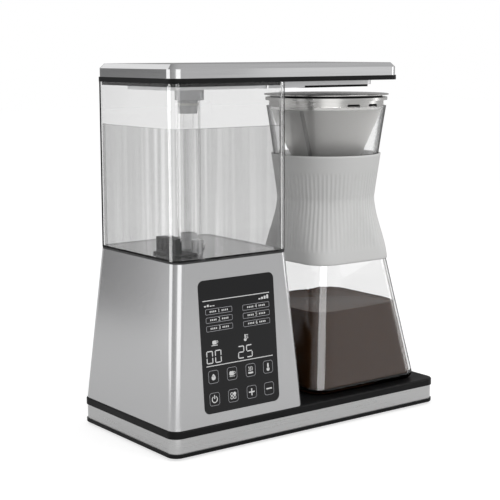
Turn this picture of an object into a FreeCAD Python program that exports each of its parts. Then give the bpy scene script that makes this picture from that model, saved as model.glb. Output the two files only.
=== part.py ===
"""Coffee and tea maker: a base slab, a tapered tower with a clear tank, a bridging lid and a glass carafe.

Millimetres. The origin is the middle of the slab, on the surface that the object stands on.
+X runs along the long front, from the tank to the carafe, -Y faces the user and +Z is up.
"""
import FreeCAD
import Part
import math
import os

# Gaps and running fits between pieces
seat_gap = 0.1
loose_gap = 0.3
shaft_gap = 0.05
screw_gap = 0.05
glue_gap = 0.05
sliver = 0.01
least_corner = 0.5

# Base slab: pan, metal band and deck
base_right_margin = 10.3
base_depth = 157.2
base_corner = 10.1
foot_stand = 2.0
foot_radius = 9.0
foot_stem_radius = 4.0
foot_inset = 24.0
foot_button = 1.0
foot_button_lip = 1.2
foot_bevel = 0.8
pan_floor = 2.5
pan_rim_height = 3.6
pan_rim_width = 6.0
pan_edge_round = 1.0
band_height = 13.9
band_wall = 1.2
band_inset = 1.1
rim_lip_height = 3.0
rim_lip_wall = 2.0
deck_height = 6.95
deck_plate = 3.0
deck_skirt = 2.6
deck_edge_round = 1.8
base_post_radius = 4.2
base_post_inset = 13.0
base_screw_depth = 12.0
wire_hole_inset = 25.0
wire_hole_radius = 7.0

# Screws
screw_radius = 1.7
screw_tip_gap = 0.4
screw_head_radius = 3.2
screw_head = 1.2
small_screw_radius = 1.2
small_screw_head_radius = 2.2
small_screw_head = 1.0
small_screw_length = 3.8

# Warming plate under the carafe
plate_half = 57.0
plate_corner = 18.0
plate_thickness = 3.0
plate_ledge = 3.5
plate_ledge_height = 3.0
plate_ledge_wall = 5.0
heater_ring_radius = 42.0
heater_ring_width = 8.0
heater_ring_height = 4.0
clamp_bar_width = 14.0
clamp_bar_thickness = 1.8
clamp_screw_outset = 1.8
clamp_recess = 1.2
sensor_radius = 5.5
sensor_height = 7.0
sensor_flange_width = 2.0
sensor_flange_thickness = 1.2

# Tower: tapered shell, its top tray and the touch panel
housing_inset = 0.9
housing_left_spread = 12.45
housing_right_spread = 10.6
housing_corner = 9.7
housing_wall = 2.0
housing_lip = 9.0
housing_lip_height = 3.0
housing_screw_inset = 5.5
housing_screw_shift = 30.0
tray_thickness = 3.0
tray_lip_width = 4.0
tray_lip_height = 2.0
panel_width = 83.2
panel_bottom = 10.0
panel_top_margin = 15.85
panel_corner = 5.5
panel_glass = 2.2
panel_shift = 0.75
panel_gap = 0.25
frame_margin = 4.0
frame_border = 6.0
frame_thickness = 2.4
touch_board_inset = 0.5
touch_screw_inset = 3.0
board_thickness = 1.6
board_corner = 2.0
display_width = 58.0
display_height = 18.0
display_thickness = 1.9
display_centre = 50.0
display_corner = 1.0

# Power board on the rear wall
power_board_width = 96.0
power_board_bottom = 34.0
power_board_top_margin = 26.05
board_post_length = 7.0
board_post_radius = 3.2
board_hole_inset = 5.0
post_hole_floor = 1.0
transformer_width = 32.0
transformer_depth = 22.0
transformer_height = 26.0
transformer_from_side = 30.0
transformer_from_top = 22.0
core_stack = 13.0
coil_width = 20.0
coil_inset = 4.0
coil_round = 2.5
bobbin_rim = 1.2
bobbin_thickness = 1.2
relay_width = 19.0
relay_depth = 15.0
relay_height = 16.0
relay_from_side = 22.0
relay_from_top = 20.0
relay_foot = 2.5
relay_case_inset = 0.5
relay_round = 1.0
terminal_width = 30.0
terminal_depth = 11.0
terminal_height = 10.0
terminal_from_side = 34.0
terminal_from_bottom = 14.0
terminal_poles = 3
terminal_wire_radius = 2.0
terminal_wire_depth = 6.0
terminal_wire_rise = 3.5
terminal_screw_radius = 1.8
terminal_screw_depth = 3.0
terminal_chamfer = 2.0
gland_height = 17.0
gland_flange_radius = 8.5
gland_body_radius = 6.5
gland_bore_radius = 3.4
gland_flange = 1.1
gland_inner_length = 9.0
gland_offset = 22.0

# Water tank
tank_length = 124.7
tank_depth = 130.7
tank_corner = 9.7
tank_wall = 3.0
tank_floor = 2.0
tank_foot_inset = 1.45
seal_height = 1.0
seal_width = 5.0
seal_lip_height = 0.6
seal_lip = 1.1
seal_inset = 0.15

# Intake, float and riser inside the tank
intake_from_left = 40.5
intake_from_front = 27.35
strainer_radius = 5.2
strainer_wall = 1.2
strainer_height = 13.0
strainer_slots = 6
strainer_slot = 1.6
spigot_radius = 4.0
spigot_bore = 2.8
spigot_drop = 12.0
nut_radius = 8.0
nut_height = 5.0
floor_plate_from_left = 11.5
floor_plate_from_front = 16.35
floor_plate_length = 23.5
floor_plate_depth = 37.0
floor_plate_thickness = 2.0
floor_plate_corner = 3.0
float_cage_from_left = 14.9
float_cage_from_front = 25.35
float_cage_length = 9.6
float_cage_depth = 26.0
float_cage_height = 13.5
float_cage_wall = 1.2
float_slots = 4
float_slot = 1.6
float_clearance = 0.4
float_height = 5.5
float_round = 0.8
riser_shift = 3.55
riser_radius = 4.75
riser_wall = 1.1
sheath_radius = 10.4
sheath_wall = 1.2
riser_flange_radius = 14.0
riser_flange = 2.5
riser_socket_height = 11.0
riser_collar_height = 4.0
riser_socket_wall = 1.9
riser_tail = 14.0
plug_gap = 0.35
ring_fit = 0.06

# Pump under the intake
pump_top_drop = 42.0
pump_radius = 17.0
pump_wall = 2.4
pump_chamber = 9.0
pump_outlet_reach = 14.0
pump_outlet_gap = 1.0
intake_gap = 14.0
motor_radius = 15.0
motor_height = 36.0
motor_shaft_radius = 1.5
motor_shaft_depth = 22.0
impeller_radius = 12.0
impeller_plate = 1.6
impeller_blades = 6
impeller_blade = 1.5
impeller_height = 6.4
impeller_hub = 4.0
impeller_clearance = 1.2
stand_wall = 2.0
stand_flange = 8.0
stand_cup_depth = 12.0
stand_ledge = 4.0

# Flow heater beside the pump
heater_from_right = 34.0
heater_from_back = 37.0
heater_radius = 17.0
heater_wall = 2.2
heater_length = 74.0
heater_lift = 12.0
heater_inlet_height = 9.0
heater_spigot = 12.0
rod_radius = 2.6
rod_spread = 6.5
rod_pins = 7.0
rod_top_gap = 5.0
bracket_thickness = 2.0
bracket_width = 30.0
bracket_ring_height = 9.0
bracket_screw_spread = 10.0
bracket_ring_low = 22.0
bracket_ring_high = 53.0
cutoff_cap_radius = 6.5
cutoff_cap = 3.0
cutoff_body_radius = 5.4
cutoff_body = 4.5
cutoff_blade_width = 3.2
cutoff_blade = 0.8
cutoff_blade_length = 6.0
cutoff_blade_spread = 3.0
cutoff_ring_gap = 3.0
cutoff_rise = 4.0

# Hoses
hose_radius = 5.6
hose_overlap = 9.0
hose_bend = 11.0
riser_hose_straight = 2.05
clamp_radius = 6.6
clamp_width = 4.0
clamp_inset = 2.5

# Lid bridging the tank and the carafe
lid_overhang = 0.9
lid_corner = 12.2
lid_strip_height = 4.3
lid_cover_inset = 1.07
lid_wall_height = 7.9
lid_bevel_height = 4.2
lid_bevel_run = 3.8
lid_bevel_corner = 1.5
lid_cover_wall = 1.6
lid_rib_depth = 3.0
lid_rib_wall = 1.6
lid_plate = 2.4
lid_rim_width = 6.0
lid_rib_gap = 1.0

# Water duct under the lid
duct_left_margin = 14.5
duct_right_margin = 6.05
duct_depth = 70.0
duct_corner = 9.0
duct_height = 6.0
duct_wall = 2.0
duct_floor = 1.8
gasket_height = 0.6
duct_post_radius = 3.6
duct_post_merge = 0.4
duct_screw_head_radius = 2.5
coupling_radius = 14.1
coupling_height = 10.2
coupling_round = 0.8
cone_height = 12.0
cone_top_radius = 8.4
cone_tip_radius = 7.8
cone_ring_height = 2.0
cone_groove_drop = 2.5
cone_groove_depth = 0.8
riser_into_cone = 4.0
shower_left_reach = 56.15
shower_right_reach = 29.0
shower_inset = 3.0
shower_seat = 1.7
shower_thickness = 2.2
shower_hole = 1.0
shower_well = 22.0
shower_pitch = 6.0
shower_rings = 3
shower_clearance = 7.0

# Carafe: round funnel above, rounded square below
carafe_gap = 19.15
carafe_rim_level = 273.25
carafe_waist_level = 183.45
carafe_square_level = 121.45
carafe_rim_radius = 58.9
carafe_flare_bend = 0.15
carafe_waist_radius = 46.3
carafe_square_half = 49.3
carafe_square_corner = 21.7
carafe_round_side = 0.1
carafe_foot_half = 69.8
carafe_foot_round = 6.0
glass_wall = 2.3
glass_floor = 4.0
sleeve_bottom_level = 122.0
sleeve_top_level = 226.55
sleeve_bottom_wall = 1.0
sleeve_top_wall = 2.1
sleeve_gap = 0.2
quarter_points = 18
section_crowding = 0.5
foot_steps = 4
span_steps = 5

# Filter in the carafe's mouth
collar_rise = 5.6
collar_flange = 2.8
collar_flange_radius = 60.0
collar_wall = 0.6
collar_skirt = 2.6
vent_slot_length = 13.5
vent_slot_height = 3.0
vent_pair_angle = 12.65
vent_rise = -0.4
vent_cut = 12.0
mesh_wall = 0.8
mesh_grip = 3.0
mesh_slope = 0.44
tip_radius = 9.0
tip_wall = 1.0
tip_grip = 2.5
filter_lid_radius = 61.3
filter_lid_thickness = 1.2
filter_lid_round = 0.48
filter_ring_radius = 55.0
filter_ring_width = 4.5
filter_ring_height = 2.1
drip_hole = 1.2
drip_pitch = 9.0
drip_rings = 3

# Heights that follow from the stack
pan_bottom = foot_stand
pan_top = pan_bottom + pan_rim_height
band_top = pan_top + band_height
deck_top = band_top + deck_height
deck_under = deck_top - deck_plate
riser_hose_drop = 2 * hose_bend + riser_hose_straight
heater_stack = heater_lift + heater_length + heater_spigot
housing_height = heater_stack + riser_hose_drop + riser_tail + nut_height + tray_thickness
panel_height = housing_height - panel_bottom - panel_top_margin
power_board_height = housing_height - power_board_bottom - power_board_top_margin
housing_top = deck_top + housing_height
tank_bottom = housing_top + seal_height
tank_floor_top = tank_bottom + tank_floor
carafe_base = deck_top + seat_gap
collar_top = carafe_base + carafe_rim_level + collar_rise + collar_flange
filter_top = collar_top + filter_ring_height + filter_lid_thickness
shower_proud = shower_thickness - shower_seat
tank_top = filter_top + shower_clearance + shower_proud + duct_height + gasket_height
strip_top = tank_top + lid_strip_height
lid_wall_top = strip_top + lid_wall_height
lid_top = lid_wall_top + lid_bevel_height
gasket_bottom = tank_top - gasket_height
duct_bottom = gasket_bottom - duct_height
shower_top = duct_bottom + shower_seat
shower_bottom = shower_top - shower_thickness
coupling_bottom = duct_bottom - coupling_height
cone_bottom = coupling_bottom - cone_height

# Places that follow from the outlines
housing_foot_length = housing_left_spread + tank_length + housing_right_spread
base_length = housing_inset + housing_foot_length + carafe_gap + 2 * carafe_foot_half + base_right_margin
base_half = base_length / 2
base_half_depth = base_depth / 2
housing_left = -base_half + housing_inset
housing_right = housing_left + housing_foot_length
housing_half_depth = base_half_depth - housing_inset
tank_left = housing_left + housing_left_spread
tank_right = tank_left + tank_length
tank_half_depth = tank_depth / 2
tank_x = (tank_left + tank_right) / 2
panel_x = tank_x + panel_shift
intake_x = tank_left + intake_from_left
intake_y = -tank_half_depth + intake_from_front
riser_x = tank_x - riser_shift
heater_x = tank_right - heater_from_right
heater_y = tank_half_depth - heater_from_back
carafe_x = housing_right + carafe_gap + carafe_foot_half
lid_left = tank_left - lid_overhang
lid_half_depth = tank_half_depth + lid_overhang
duct_left = lid_left + duct_left_margin
shower_left = carafe_x - shower_left_reach
duct_right = carafe_x + shower_right_reach + shower_inset
lid_right = duct_right + duct_right_margin
front_tilt = math.degrees(math.atan2(housing_half_depth - tank_half_depth, housing_height))


def vec(x, y, z):
    """Vector from three coordinates."""
    return FreeCAD.Vector(x, y, z)


def outline(x0, x1, y0, y1, radius, z):
    """Closed wire of a rounded rectangle at height z."""
    corners = [(x1 - radius, y0 + radius), (x1 - radius, y1 - radius),
               (x0 + radius, y1 - radius), (x0 + radius, y0 + radius)]
    arcs = []
    for quarter, (cx, cy) in enumerate(corners):
        points = []
        for step in range(3):
            angle = math.pi / 2 * (quarter - 1 + step / 2)
            points.append(vec(cx + radius * math.cos(angle), cy + radius * math.sin(angle), z))
        arcs.append(points)
    edges = []
    for index, points in enumerate(arcs):
        edges.append(Part.Arc(*points).toShape())
        edges.append(Part.LineSegment(points[2], arcs[(index + 1) % 4][0]).toShape())
    return Part.Wire(edges)


def slab(x0, x1, y0, y1, radius, z0, z1):
    """Upright block with a rounded rectangle as its plan."""
    return Part.Face(outline(x0, x1, y0, y1, radius, z0)).extrude(vec(0, 0, z1 - z0))


def inset_slab(box, inset, radius, z0, z1):
    """Block inside the plan box (x0, x1, y0, y1), drawn in by inset on every side."""
    x0, x1, y0, y1 = box
    corner = max(radius - inset, least_corner)
    return slab(x0 + inset, x1 - inset, y0 + inset, y1 - inset, corner, z0, z1)


def ring_slab(box, outer, inner, radius, z0, z1):
    """Frame between two insets of one plan box."""
    return inset_slab(box, outer, radius, z0, z1).cut(inset_slab(box, inner, radius, z0, z1))


def block(x0, x1, y0, y1, z0, z1):
    """Plain box between two corners."""
    return Part.makeBox(x1 - x0, y1 - y0, z1 - z0, vec(x0, y0, z0))


def rod(x, y, z0, z1, radius):
    """Upright cylinder."""
    return Part.makeCylinder(radius, z1 - z0, vec(x, y, z0))


def pipe_length(x, y, z0, z1, outer, inner):
    """Upright tube."""
    return rod(x, y, z0, z1, outer).cut(rod(x, y, z0, z1, inner))


def spin(x, y, profile):
    """Solid of revolution about an upright axis, from (radius, z) points."""
    points = [vec(x + radius, y, z) for radius, z in profile]
    face = Part.Face(Part.makePolygon(points + points[:1]))
    return face.revolve(vec(x, y, 0), vec(0, 0, 1), 360)


def fused(shapes):
    """One solid from shapes that overlap or meet."""
    first = shapes[0]
    return first.fuse(shapes[1:]).removeSplitter() if len(shapes) > 1 else first


def screw(x, y, z_head, z_tip, radius=screw_radius, head_radius=screw_head_radius):
    """Screw with its head at z_head; it points up if z_tip is above."""
    up = 1 if z_tip > z_head else -1
    shoulder = z_head + up * screw_head
    head = rod(x, y, min(z_head, shoulder), max(z_head, shoulder), head_radius)
    shank = rod(x, y, min(shoulder, z_tip), max(shoulder, z_tip), radius)
    return fused([head, shank])


def small_screw(x, y, z, direction):
    """Small screw: its head's underside is at the point and its shank runs along direction."""
    start = vec(x, y, z)
    head_start = start - direction * small_screw_head
    head = Part.makeCylinder(small_screw_head_radius, small_screw_head, head_start, direction)
    return fused([head, Part.makeCylinder(small_screw_radius, small_screw_length, start, direction)])


def small_hole(x, y, z, direction, length):
    """Hole for the shank of a small screw."""
    return Part.makeCylinder(small_screw_radius + screw_gap, length, vec(x, y, z), direction)


def moved(shape, base, axis, angle):
    """Copy of a shape, turned about an axis through the origin and then moved to base."""
    copy = shape.copy()
    copy.Placement = FreeCAD.Placement(base, FreeCAD.Rotation(axis, angle)).multiply(copy.Placement)
    return copy


def on_front(shape):
    """Place a shape drawn on the front wall: z runs up the slope and y into the tower."""
    return moved(shape, vec(0, -housing_half_depth, deck_top), vec(1, 0, 0), -front_tilt)


def on_back(shape):
    """Place a shape drawn on the rear wall: z runs up the slope and -y into the tower."""
    return moved(shape, vec(0, housing_half_depth, deck_top), vec(1, 0, 0), front_tilt)


def plate_on_wall(x0, x1, z0, z1, radius, depth0, depth1):
    """Rounded plate parallel to a wall, between two depths along y."""
    flat = Part.Face(outline(x0, x1, z0, z1, radius, 0)).extrude(vec(0, 0, depth1 - depth0))
    return moved(flat, vec(0, depth1, 0), vec(1, 0, 0), 90)


def bent_path(points, bend):
    """Wire of straight runs joined by tangent arcs of one radius."""
    edges = []
    start = points[0]
    for index in range(1, len(points) - 1):
        corner = points[index]
        before = (points[index - 1] - corner).normalize()
        after = (points[index + 1] - corner).normalize()
        half = before.getAngle(after) / 2
        reach = bend / math.tan(half)
        enter = corner + before * reach
        leave = corner + after * reach
        towards = (before + after).normalize()
        middle = corner + towards * (bend / math.sin(half) - bend)
        edges.append(Part.LineSegment(start, enter).toShape())
        edges.append(Part.Arc(enter, middle, leave).toShape())
        start = leave
    edges.append(Part.LineSegment(start, points[-1]).toShape())
    return Part.Wire(edges)


def swept(path, radius):
    """Round bar along a path."""
    first = path.Edges[0]
    start = first.valueAt(first.FirstParameter)
    heading = first.tangentAt(first.FirstParameter)
    ring = Part.Wire(Part.Circle(start, heading, radius).toShape())
    return path.makePipeShell([ring], True, False)


def hose(name, points):
    """Hose that slips over a spigot at each end; its volume is compared with its length."""
    path = bent_path(points, hose_bend)
    outer = swept(path, hose_radius)
    inner = swept(path, spigot_radius + screw_gap)
    tube = outer.cut(inner)
    wanted = math.pi * (hose_radius ** 2 - (spigot_radius + screw_gap) ** 2) * path.Length
    ratio = tube.Volume / wanted
    print("%s: length %.1f, volume ratio %.4f, bend %.1f" % (name, path.Length, ratio, hose_bend))
    return tube


base_box = (-base_half, base_half, -base_half_depth, base_half_depth)
tank_box = (tank_left, tank_right, -tank_half_depth, tank_half_depth)
lid_box = (lid_left, lid_right, -lid_half_depth, lid_half_depth)
duct_box = (duct_left, duct_right, -duct_depth / 2, duct_depth / 2)
plate_box = (carafe_x - plate_half, carafe_x + plate_half, -plate_half, plate_half)


def foot_places():
    """Centres of the four rubber feet."""
    x = base_half - foot_inset
    y = base_half_depth - foot_inset
    return [(sx * x, sy * y) for sx in (-1, 1) for sy in (-1, 1)]


def base_post_places():
    """Centres of the posts that join the deck to the pan."""
    x = base_half - base_post_inset
    y = base_half_depth - base_post_inset
    return [(sx * x, sy * y) for sx in (-1, 0, 1) for sy in (-1, 1)]


def housing_screw_places():
    """Centres of the screws that hold the tower's foot to the deck."""
    inset = housing_wall + housing_screw_inset
    y = housing_half_depth - inset
    left = housing_left + inset + housing_screw_shift
    right = housing_right - inset - housing_screw_shift
    return [(x, side * y) for x in (left, right) for side in (-1, 1)]


def make_base_pan():
    """Black pan: floor, outer rim and the lip that locates the band."""
    floor = inset_slab(base_box, 0, base_corner, pan_bottom, pan_bottom + pan_floor)
    rim = ring_slab(base_box, 0, pan_rim_width, base_corner, pan_bottom + pan_floor, pan_top)
    lip_outer = band_inset + band_wall + seat_gap
    lip = ring_slab(base_box, lip_outer, lip_outer + rim_lip_wall, base_corner,
                    pan_top, pan_top + rim_lip_height)
    body = fused([floor, rim])
    lowest = [edge for edge in body.Edges if edge.BoundBox.ZMax < pan_bottom + sliver]
    body = fused([body.makeFillet(pan_edge_round, lowest), lip])
    for x, y in foot_places():
        body = body.cut(rod(x, y, pan_bottom, pan_bottom + pan_floor, foot_stem_radius + seat_gap))
    for x, y in base_post_places():
        body = body.cut(rod(x, y, pan_bottom, pan_top, screw_radius + seat_gap))
        body = body.cut(rod(x, y, pan_bottom, pan_bottom + screw_head + seat_gap,
                            screw_head_radius + loose_gap))
    return body


def make_base_band():
    """Brushed metal band between the pan and the deck."""
    return ring_slab(base_box, band_inset, band_inset + band_wall, base_corner, pan_top, band_top)


def make_base_deck():
    """Black deck: top plate, skirt, lip, screw posts and the seat of the warming plate."""
    body = inset_slab(base_box, 0, base_corner, band_top, deck_top)
    upper = [edge for edge in body.Edges if edge.BoundBox.ZMin > deck_top - sliver]
    body = body.makeFillet(deck_edge_round, upper)
    body = body.cut(inset_slab(base_box, deck_skirt, base_corner, band_top, deck_under))
    lip_outer = band_inset + band_wall + seat_gap
    lip = ring_slab(base_box, lip_outer, lip_outer + rim_lip_wall, base_corner,
                    band_top - rim_lip_height, deck_under)
    ledge_top = deck_top - plate_thickness - seat_gap
    ledge = ring_slab(plate_box, -plate_ledge_wall, plate_ledge, plate_corner,
                      ledge_top - plate_ledge_height, deck_under)
    posts = [rod(x, y, pan_bottom + pan_floor, deck_under, base_post_radius) for x, y in base_post_places()]
    body = fused([body, lip, ledge] + posts)
    body = body.cut(inset_slab(plate_box, -loose_gap, plate_corner, ledge_top, deck_top))
    body = body.cut(inset_slab(plate_box, plate_ledge, plate_corner, band_top, deck_top))
    for x, y in base_post_places():
        body = body.cut(rod(x, y, pan_bottom, pan_bottom + screw_head + base_screw_depth,
                            screw_radius + screw_gap))
    for x, y in housing_screw_places() + stand_places() + bracket_places():
        body = body.cut(rod(x, y, deck_under, deck_top, screw_radius + screw_gap))
    for x in clamp_screw_places():
        body = body.cut(small_hole(x, 0, clamp_levels()[2], vec(0, 0, 1), small_screw_length))
    return body.cut(rod(housing_right - wire_hole_inset, 0, deck_under, deck_top, wire_hole_radius))


def make_rubber_feet():
    """Four push-in feet, each a pad, a stem through the pan and a button above it."""
    feet = []
    for x, y in foot_places():
        stem_top = pan_bottom + pan_floor + seat_gap
        profile = [(0, 0), (foot_radius - foot_bevel, 0), (foot_radius, foot_bevel),
                   (foot_radius, foot_stand), (foot_stem_radius, foot_stand), (foot_stem_radius, stem_top),
                   (foot_stem_radius + foot_button_lip, stem_top), (foot_stem_radius, stem_top + foot_button),
                   (0, stem_top + foot_button)]
        feet.append(spin(x, y, profile))
    return Part.makeCompound(feet)


def make_base_screws():
    """Six screws from below, through the pan into the deck's posts."""
    head = pan_bottom + seat_gap
    tip = pan_bottom + base_screw_depth
    return Part.makeCompound([screw(x, y, head, tip) for x, y in base_post_places()])


def make_warming_plate():
    """Flush plate that the carafe stands on."""
    top = deck_top - seat_gap
    return inset_slab(plate_box, 0, plate_corner, top - plate_thickness, top)


def plate_under():
    """Height of the warming plate's underside."""
    return deck_top - seat_gap - plate_thickness


def make_plate_heater():
    """Ring element pressed against the underside of the warming plate."""
    z1 = plate_under()
    inner = heater_ring_radius - heater_ring_width
    return pipe_length(carafe_x, 0, z1 - heater_ring_height, z1, heater_ring_radius, inner)


def clamp_levels():
    """Underside and top of the crossbar, and the underside of the deck's ledge."""
    bar_top = plate_under() - heater_ring_height
    return bar_top - clamp_bar_thickness, bar_top, plate_under() - plate_ledge_height


def clamp_screw_places():
    """Places along X of the crossbar's screws."""
    reach = plate_half + clamp_screw_outset
    return [carafe_x - reach, carafe_x + reach]


def make_plate_clamp():
    """Crossbar that presses the ring up, with a pad at each end under the deck's ledge."""
    under, bar_top, ledge_under = clamp_levels()
    reach = plate_half + plate_ledge_wall
    half = clamp_bar_width / 2
    bar = block(carafe_x - reach, carafe_x + reach, -half, half, under, bar_top)
    pads = []
    for side in (-1, 1):
        outer = carafe_x + side * reach
        inner = carafe_x + side * (plate_half - plate_ledge + loose_gap)
        pads.append(block(min(outer, inner), max(outer, inner), -half, half, under, ledge_under))
    body = fused([bar] + pads).cut(rod(carafe_x, 0, under, bar_top, sensor_radius + seat_gap))
    for x in clamp_screw_places():
        body = body.cut(small_hole(x, 0, under, vec(0, 0, 1), ledge_under - under))
        body = body.cut(rod(x, 0, under, under + clamp_recess, small_screw_head_radius + loose_gap))
    return body


def make_plate_sensor():
    """Temperature sensor held in the crossbar, touching the plate."""
    z1 = plate_under()
    z0 = z1 - heater_ring_height + seat_gap
    flange = rod(carafe_x, 0, z0, z0 + sensor_flange_thickness, sensor_radius + sensor_flange_width)
    return fused([rod(carafe_x, 0, z1 - sensor_height, z1, sensor_radius), flange])


def tapered(inset, z_extra=0.0):
    """Solid of the tower's outer form, drawn in by inset."""
    corner = housing_corner - inset
    lower = outline(housing_left + inset, housing_right - inset, -housing_half_depth + inset,
                    housing_half_depth - inset, corner, deck_top)
    upper = outline(tank_left + inset, tank_right - inset, -tank_half_depth + inset,
                    tank_half_depth - inset, corner, housing_top)
    return Part.makeLoft([lower, upper], True, True)


def panel_edges(margin):
    """Plan of the panel on the front slope, grown by a margin."""
    half = panel_width / 2 + margin
    return panel_x - half, panel_x + half, panel_bottom - margin, panel_bottom + panel_height + margin


def make_housing_shell():
    """Tapered metal shell with a screw lip at its foot and a ledge for the tray."""
    shell = tapered(0).cut(tapered(housing_wall))
    foot = (housing_left, housing_right, -housing_half_depth, housing_half_depth)
    foot_ring = inset_slab(foot, 0, housing_corner, deck_top, deck_top + housing_lip_height)
    foot_ring = foot_ring.cut(inset_slab(foot, housing_wall + housing_lip, housing_corner,
                                         deck_top, deck_top + housing_lip_height))
    ledge_top = housing_top - tray_thickness
    top_ring = inset_slab(tank_box, -housing_wall, tank_corner, ledge_top - tray_lip_height, ledge_top)
    top_ring = top_ring.cut(inset_slab(tank_box, housing_wall + tray_lip_width, tank_corner,
                                       ledge_top - tray_lip_height, ledge_top))
    solid = tapered(0)
    shell = fused([shell, foot_ring.common(solid), top_ring.common(solid)])
    for x, y in housing_screw_places():
        shell = shell.cut(rod(x, y, deck_top, deck_top + housing_lip_height, screw_radius + screw_gap))
    shell = fused([shell] + [on_back(post) for post in board_posts()])
    x0, x1, z0, z1 = panel_edges(panel_gap)
    window = on_front(plate_on_wall(x0, x1, z0, z1, panel_corner + panel_gap,
                                    -housing_wall, 2 * housing_wall))
    gland = Part.makeCylinder(gland_body_radius + seat_gap, 4 * housing_wall,
                              vec(gland_x(), -2 * housing_wall, gland_height), vec(0, 1, 0))
    return shell.cut(window).cut(on_back(gland))


def make_housing_screws():
    """Four screws from under the deck into the tower's foot lip."""
    tip = deck_top + housing_lip_height - screw_tip_gap
    places = housing_screw_places()
    return Part.makeCompound([screw(x, y, deck_under - screw_head, tip) for x, y in places])


def make_housing_tray():
    """Tray that closes the tower and carries the tank."""
    low = housing_top - tray_thickness
    plate = inset_slab(tank_box, housing_wall + seat_gap, tank_corner, low, housing_top)
    for x, y in spigot_places():
        plate = plate.cut(rod(x, y, low, housing_top, spigot_radius + loose_gap))
    return plate


def make_panel_glass():
    """Black glass panel, flush with the shell's front."""
    x0, x1, z0, z1 = panel_edges(0)
    return on_front(plate_on_wall(x0, x1, z0, z1, panel_corner, 0, panel_glass))


def make_panel_frame():
    """Frame behind the glass, glued to the inside of the shell."""
    x0, x1, z0, z1 = panel_edges(frame_margin)
    near = panel_glass + glue_gap
    frame = plate_on_wall(x0, x1, z0, z1, panel_corner, near, near + frame_thickness)
    x0, x1, z0, z1 = panel_edges(-frame_border)
    frame = frame.cut(plate_on_wall(x0, x1, z0, z1, board_corner, near, near + frame_thickness))
    for x, z in touch_board_holes():
        frame = frame.cut(small_hole(x, near, z, vec(0, 1, 0), frame_thickness))
    return on_front(frame)


def touch_board_holes():
    """Screw places of the touch board, on the front slope."""
    x0, x1, z0, z1 = panel_edges(-touch_screw_inset)
    return [(x, z) for x in (x0, x1) for z in (z0, (z0 + z1) / 2, z1)]


def touch_board_depth():
    """Depth of the touch board's front face behind the panel's outer face."""
    return panel_glass + glue_gap + frame_thickness


def make_touch_board():
    """Circuit board with the touch pads."""
    x0, x1, z0, z1 = panel_edges(-touch_board_inset)
    near = touch_board_depth()
    board = plate_on_wall(x0, x1, z0, z1, board_corner, near, near + board_thickness)
    for x, z in touch_board_holes():
        board = board.cut(small_hole(x, near, z, vec(0, 1, 0), board_thickness))
    return on_front(board)


def make_display_module():
    """Two-digit display between the glass and the touch board."""
    near = touch_board_depth() - display_thickness
    z0 = panel_bottom + display_centre - display_height / 2
    half = display_width / 2
    return on_front(plate_on_wall(panel_x - half, panel_x + half, z0, z0 + display_height, display_corner,
                                  near, near + display_thickness))


def make_small_screws():
    """Small screws of the touch board, the power board and the plate's crossbar."""
    back = touch_board_depth() + board_thickness
    face = board_face() + board_thickness
    screws = [on_front(small_screw(x, back, z, vec(0, -1, 0))) for x, z in touch_board_holes()]
    screws += [on_back(small_screw(x, -face, z, vec(0, 1, 0))) for x, z in power_board_holes()]
    for x in clamp_screw_places():
        screws.append(small_screw(x, 0, clamp_levels()[0] + clamp_recess, vec(0, 0, 1)))
    return Part.makeCompound(screws)


def power_board_edges():
    """Plan of the power board on the rear slope."""
    half = power_board_width / 2
    return tank_x - half, tank_x + half, power_board_bottom, power_board_bottom + power_board_height


def power_board_holes():
    """Fixing places of the power board."""
    x0, x1, z0, z1 = power_board_edges()
    inset = board_hole_inset
    return [(x, z) for x in (x0 + inset, x1 - inset) for z in (z0 + inset, z1 - inset)]


def board_face():
    """Depth of the power board's rear face, from the shell's outer face."""
    return housing_wall + board_post_length


def board_posts():
    """Posts between the rear wall and the power board, welded to the wall."""
    posts = []
    for x, z in power_board_holes():
        root = housing_wall / 2
        post = Part.makeCylinder(board_post_radius, board_face() - root, vec(x, -root, z), vec(0, -1, 0))
        hole = small_hole(x, -board_face(), z, vec(0, 1, 0), board_post_length - post_hole_floor)
        posts.append(post.cut(hole))
    return posts


def make_power_board():
    """Circuit board with the mains parts."""
    x0, x1, z0, z1 = power_board_edges()
    near = board_face()
    board = plate_on_wall(x0, x1, z0, z1, board_corner, -near - board_thickness, -near)
    for x, z in power_board_holes():
        board = board.cut(small_hole(x, -near, z, vec(0, -1, 0), board_thickness))
    return on_back(board)


def centred(width, depth, height, lift=0.0):
    """Box centred in x and z that stands out from the board along -y, lifted off it by lift."""
    return block(-width / 2, width / 2, -lift - depth, -lift, -height / 2, height / 2)


def on_power_board(shape, x, z):
    """Place a shape drawn at the origin, where -y points away from the power board."""
    return on_back(moved(shape, vec(x, -board_face() - board_thickness, z), vec(0, 0, 1), 0))


def make_transformer():
    """Transformer of the low voltage supply: a laminated core round a coil between two bobbin rims."""
    core = centred(transformer_width, transformer_depth, core_stack)
    coil = centred(coil_width, transformer_depth - 2 * coil_inset, transformer_height, coil_inset)
    upright = [edge for edge in coil.Edges if edge.BoundBox.ZLength > transformer_height / 2]
    shapes = [core, coil.makeFillet(coil_round, upright)]
    rim_depth = transformer_depth - 2 * coil_inset + 2 * bobbin_rim
    rim = centred(coil_width + 2 * bobbin_rim, rim_depth, bobbin_thickness, coil_inset - bobbin_rim)
    for side in (-1, 1):
        rise = side * (transformer_height - bobbin_thickness) / 2
        shapes.append(moved(rim, vec(0, 0, rise), vec(0, 0, 1), 0))
    x0, x1, z0, z1 = power_board_edges()
    return on_power_board(fused(shapes), x0 + transformer_from_side, z1 - transformer_from_top)


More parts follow.
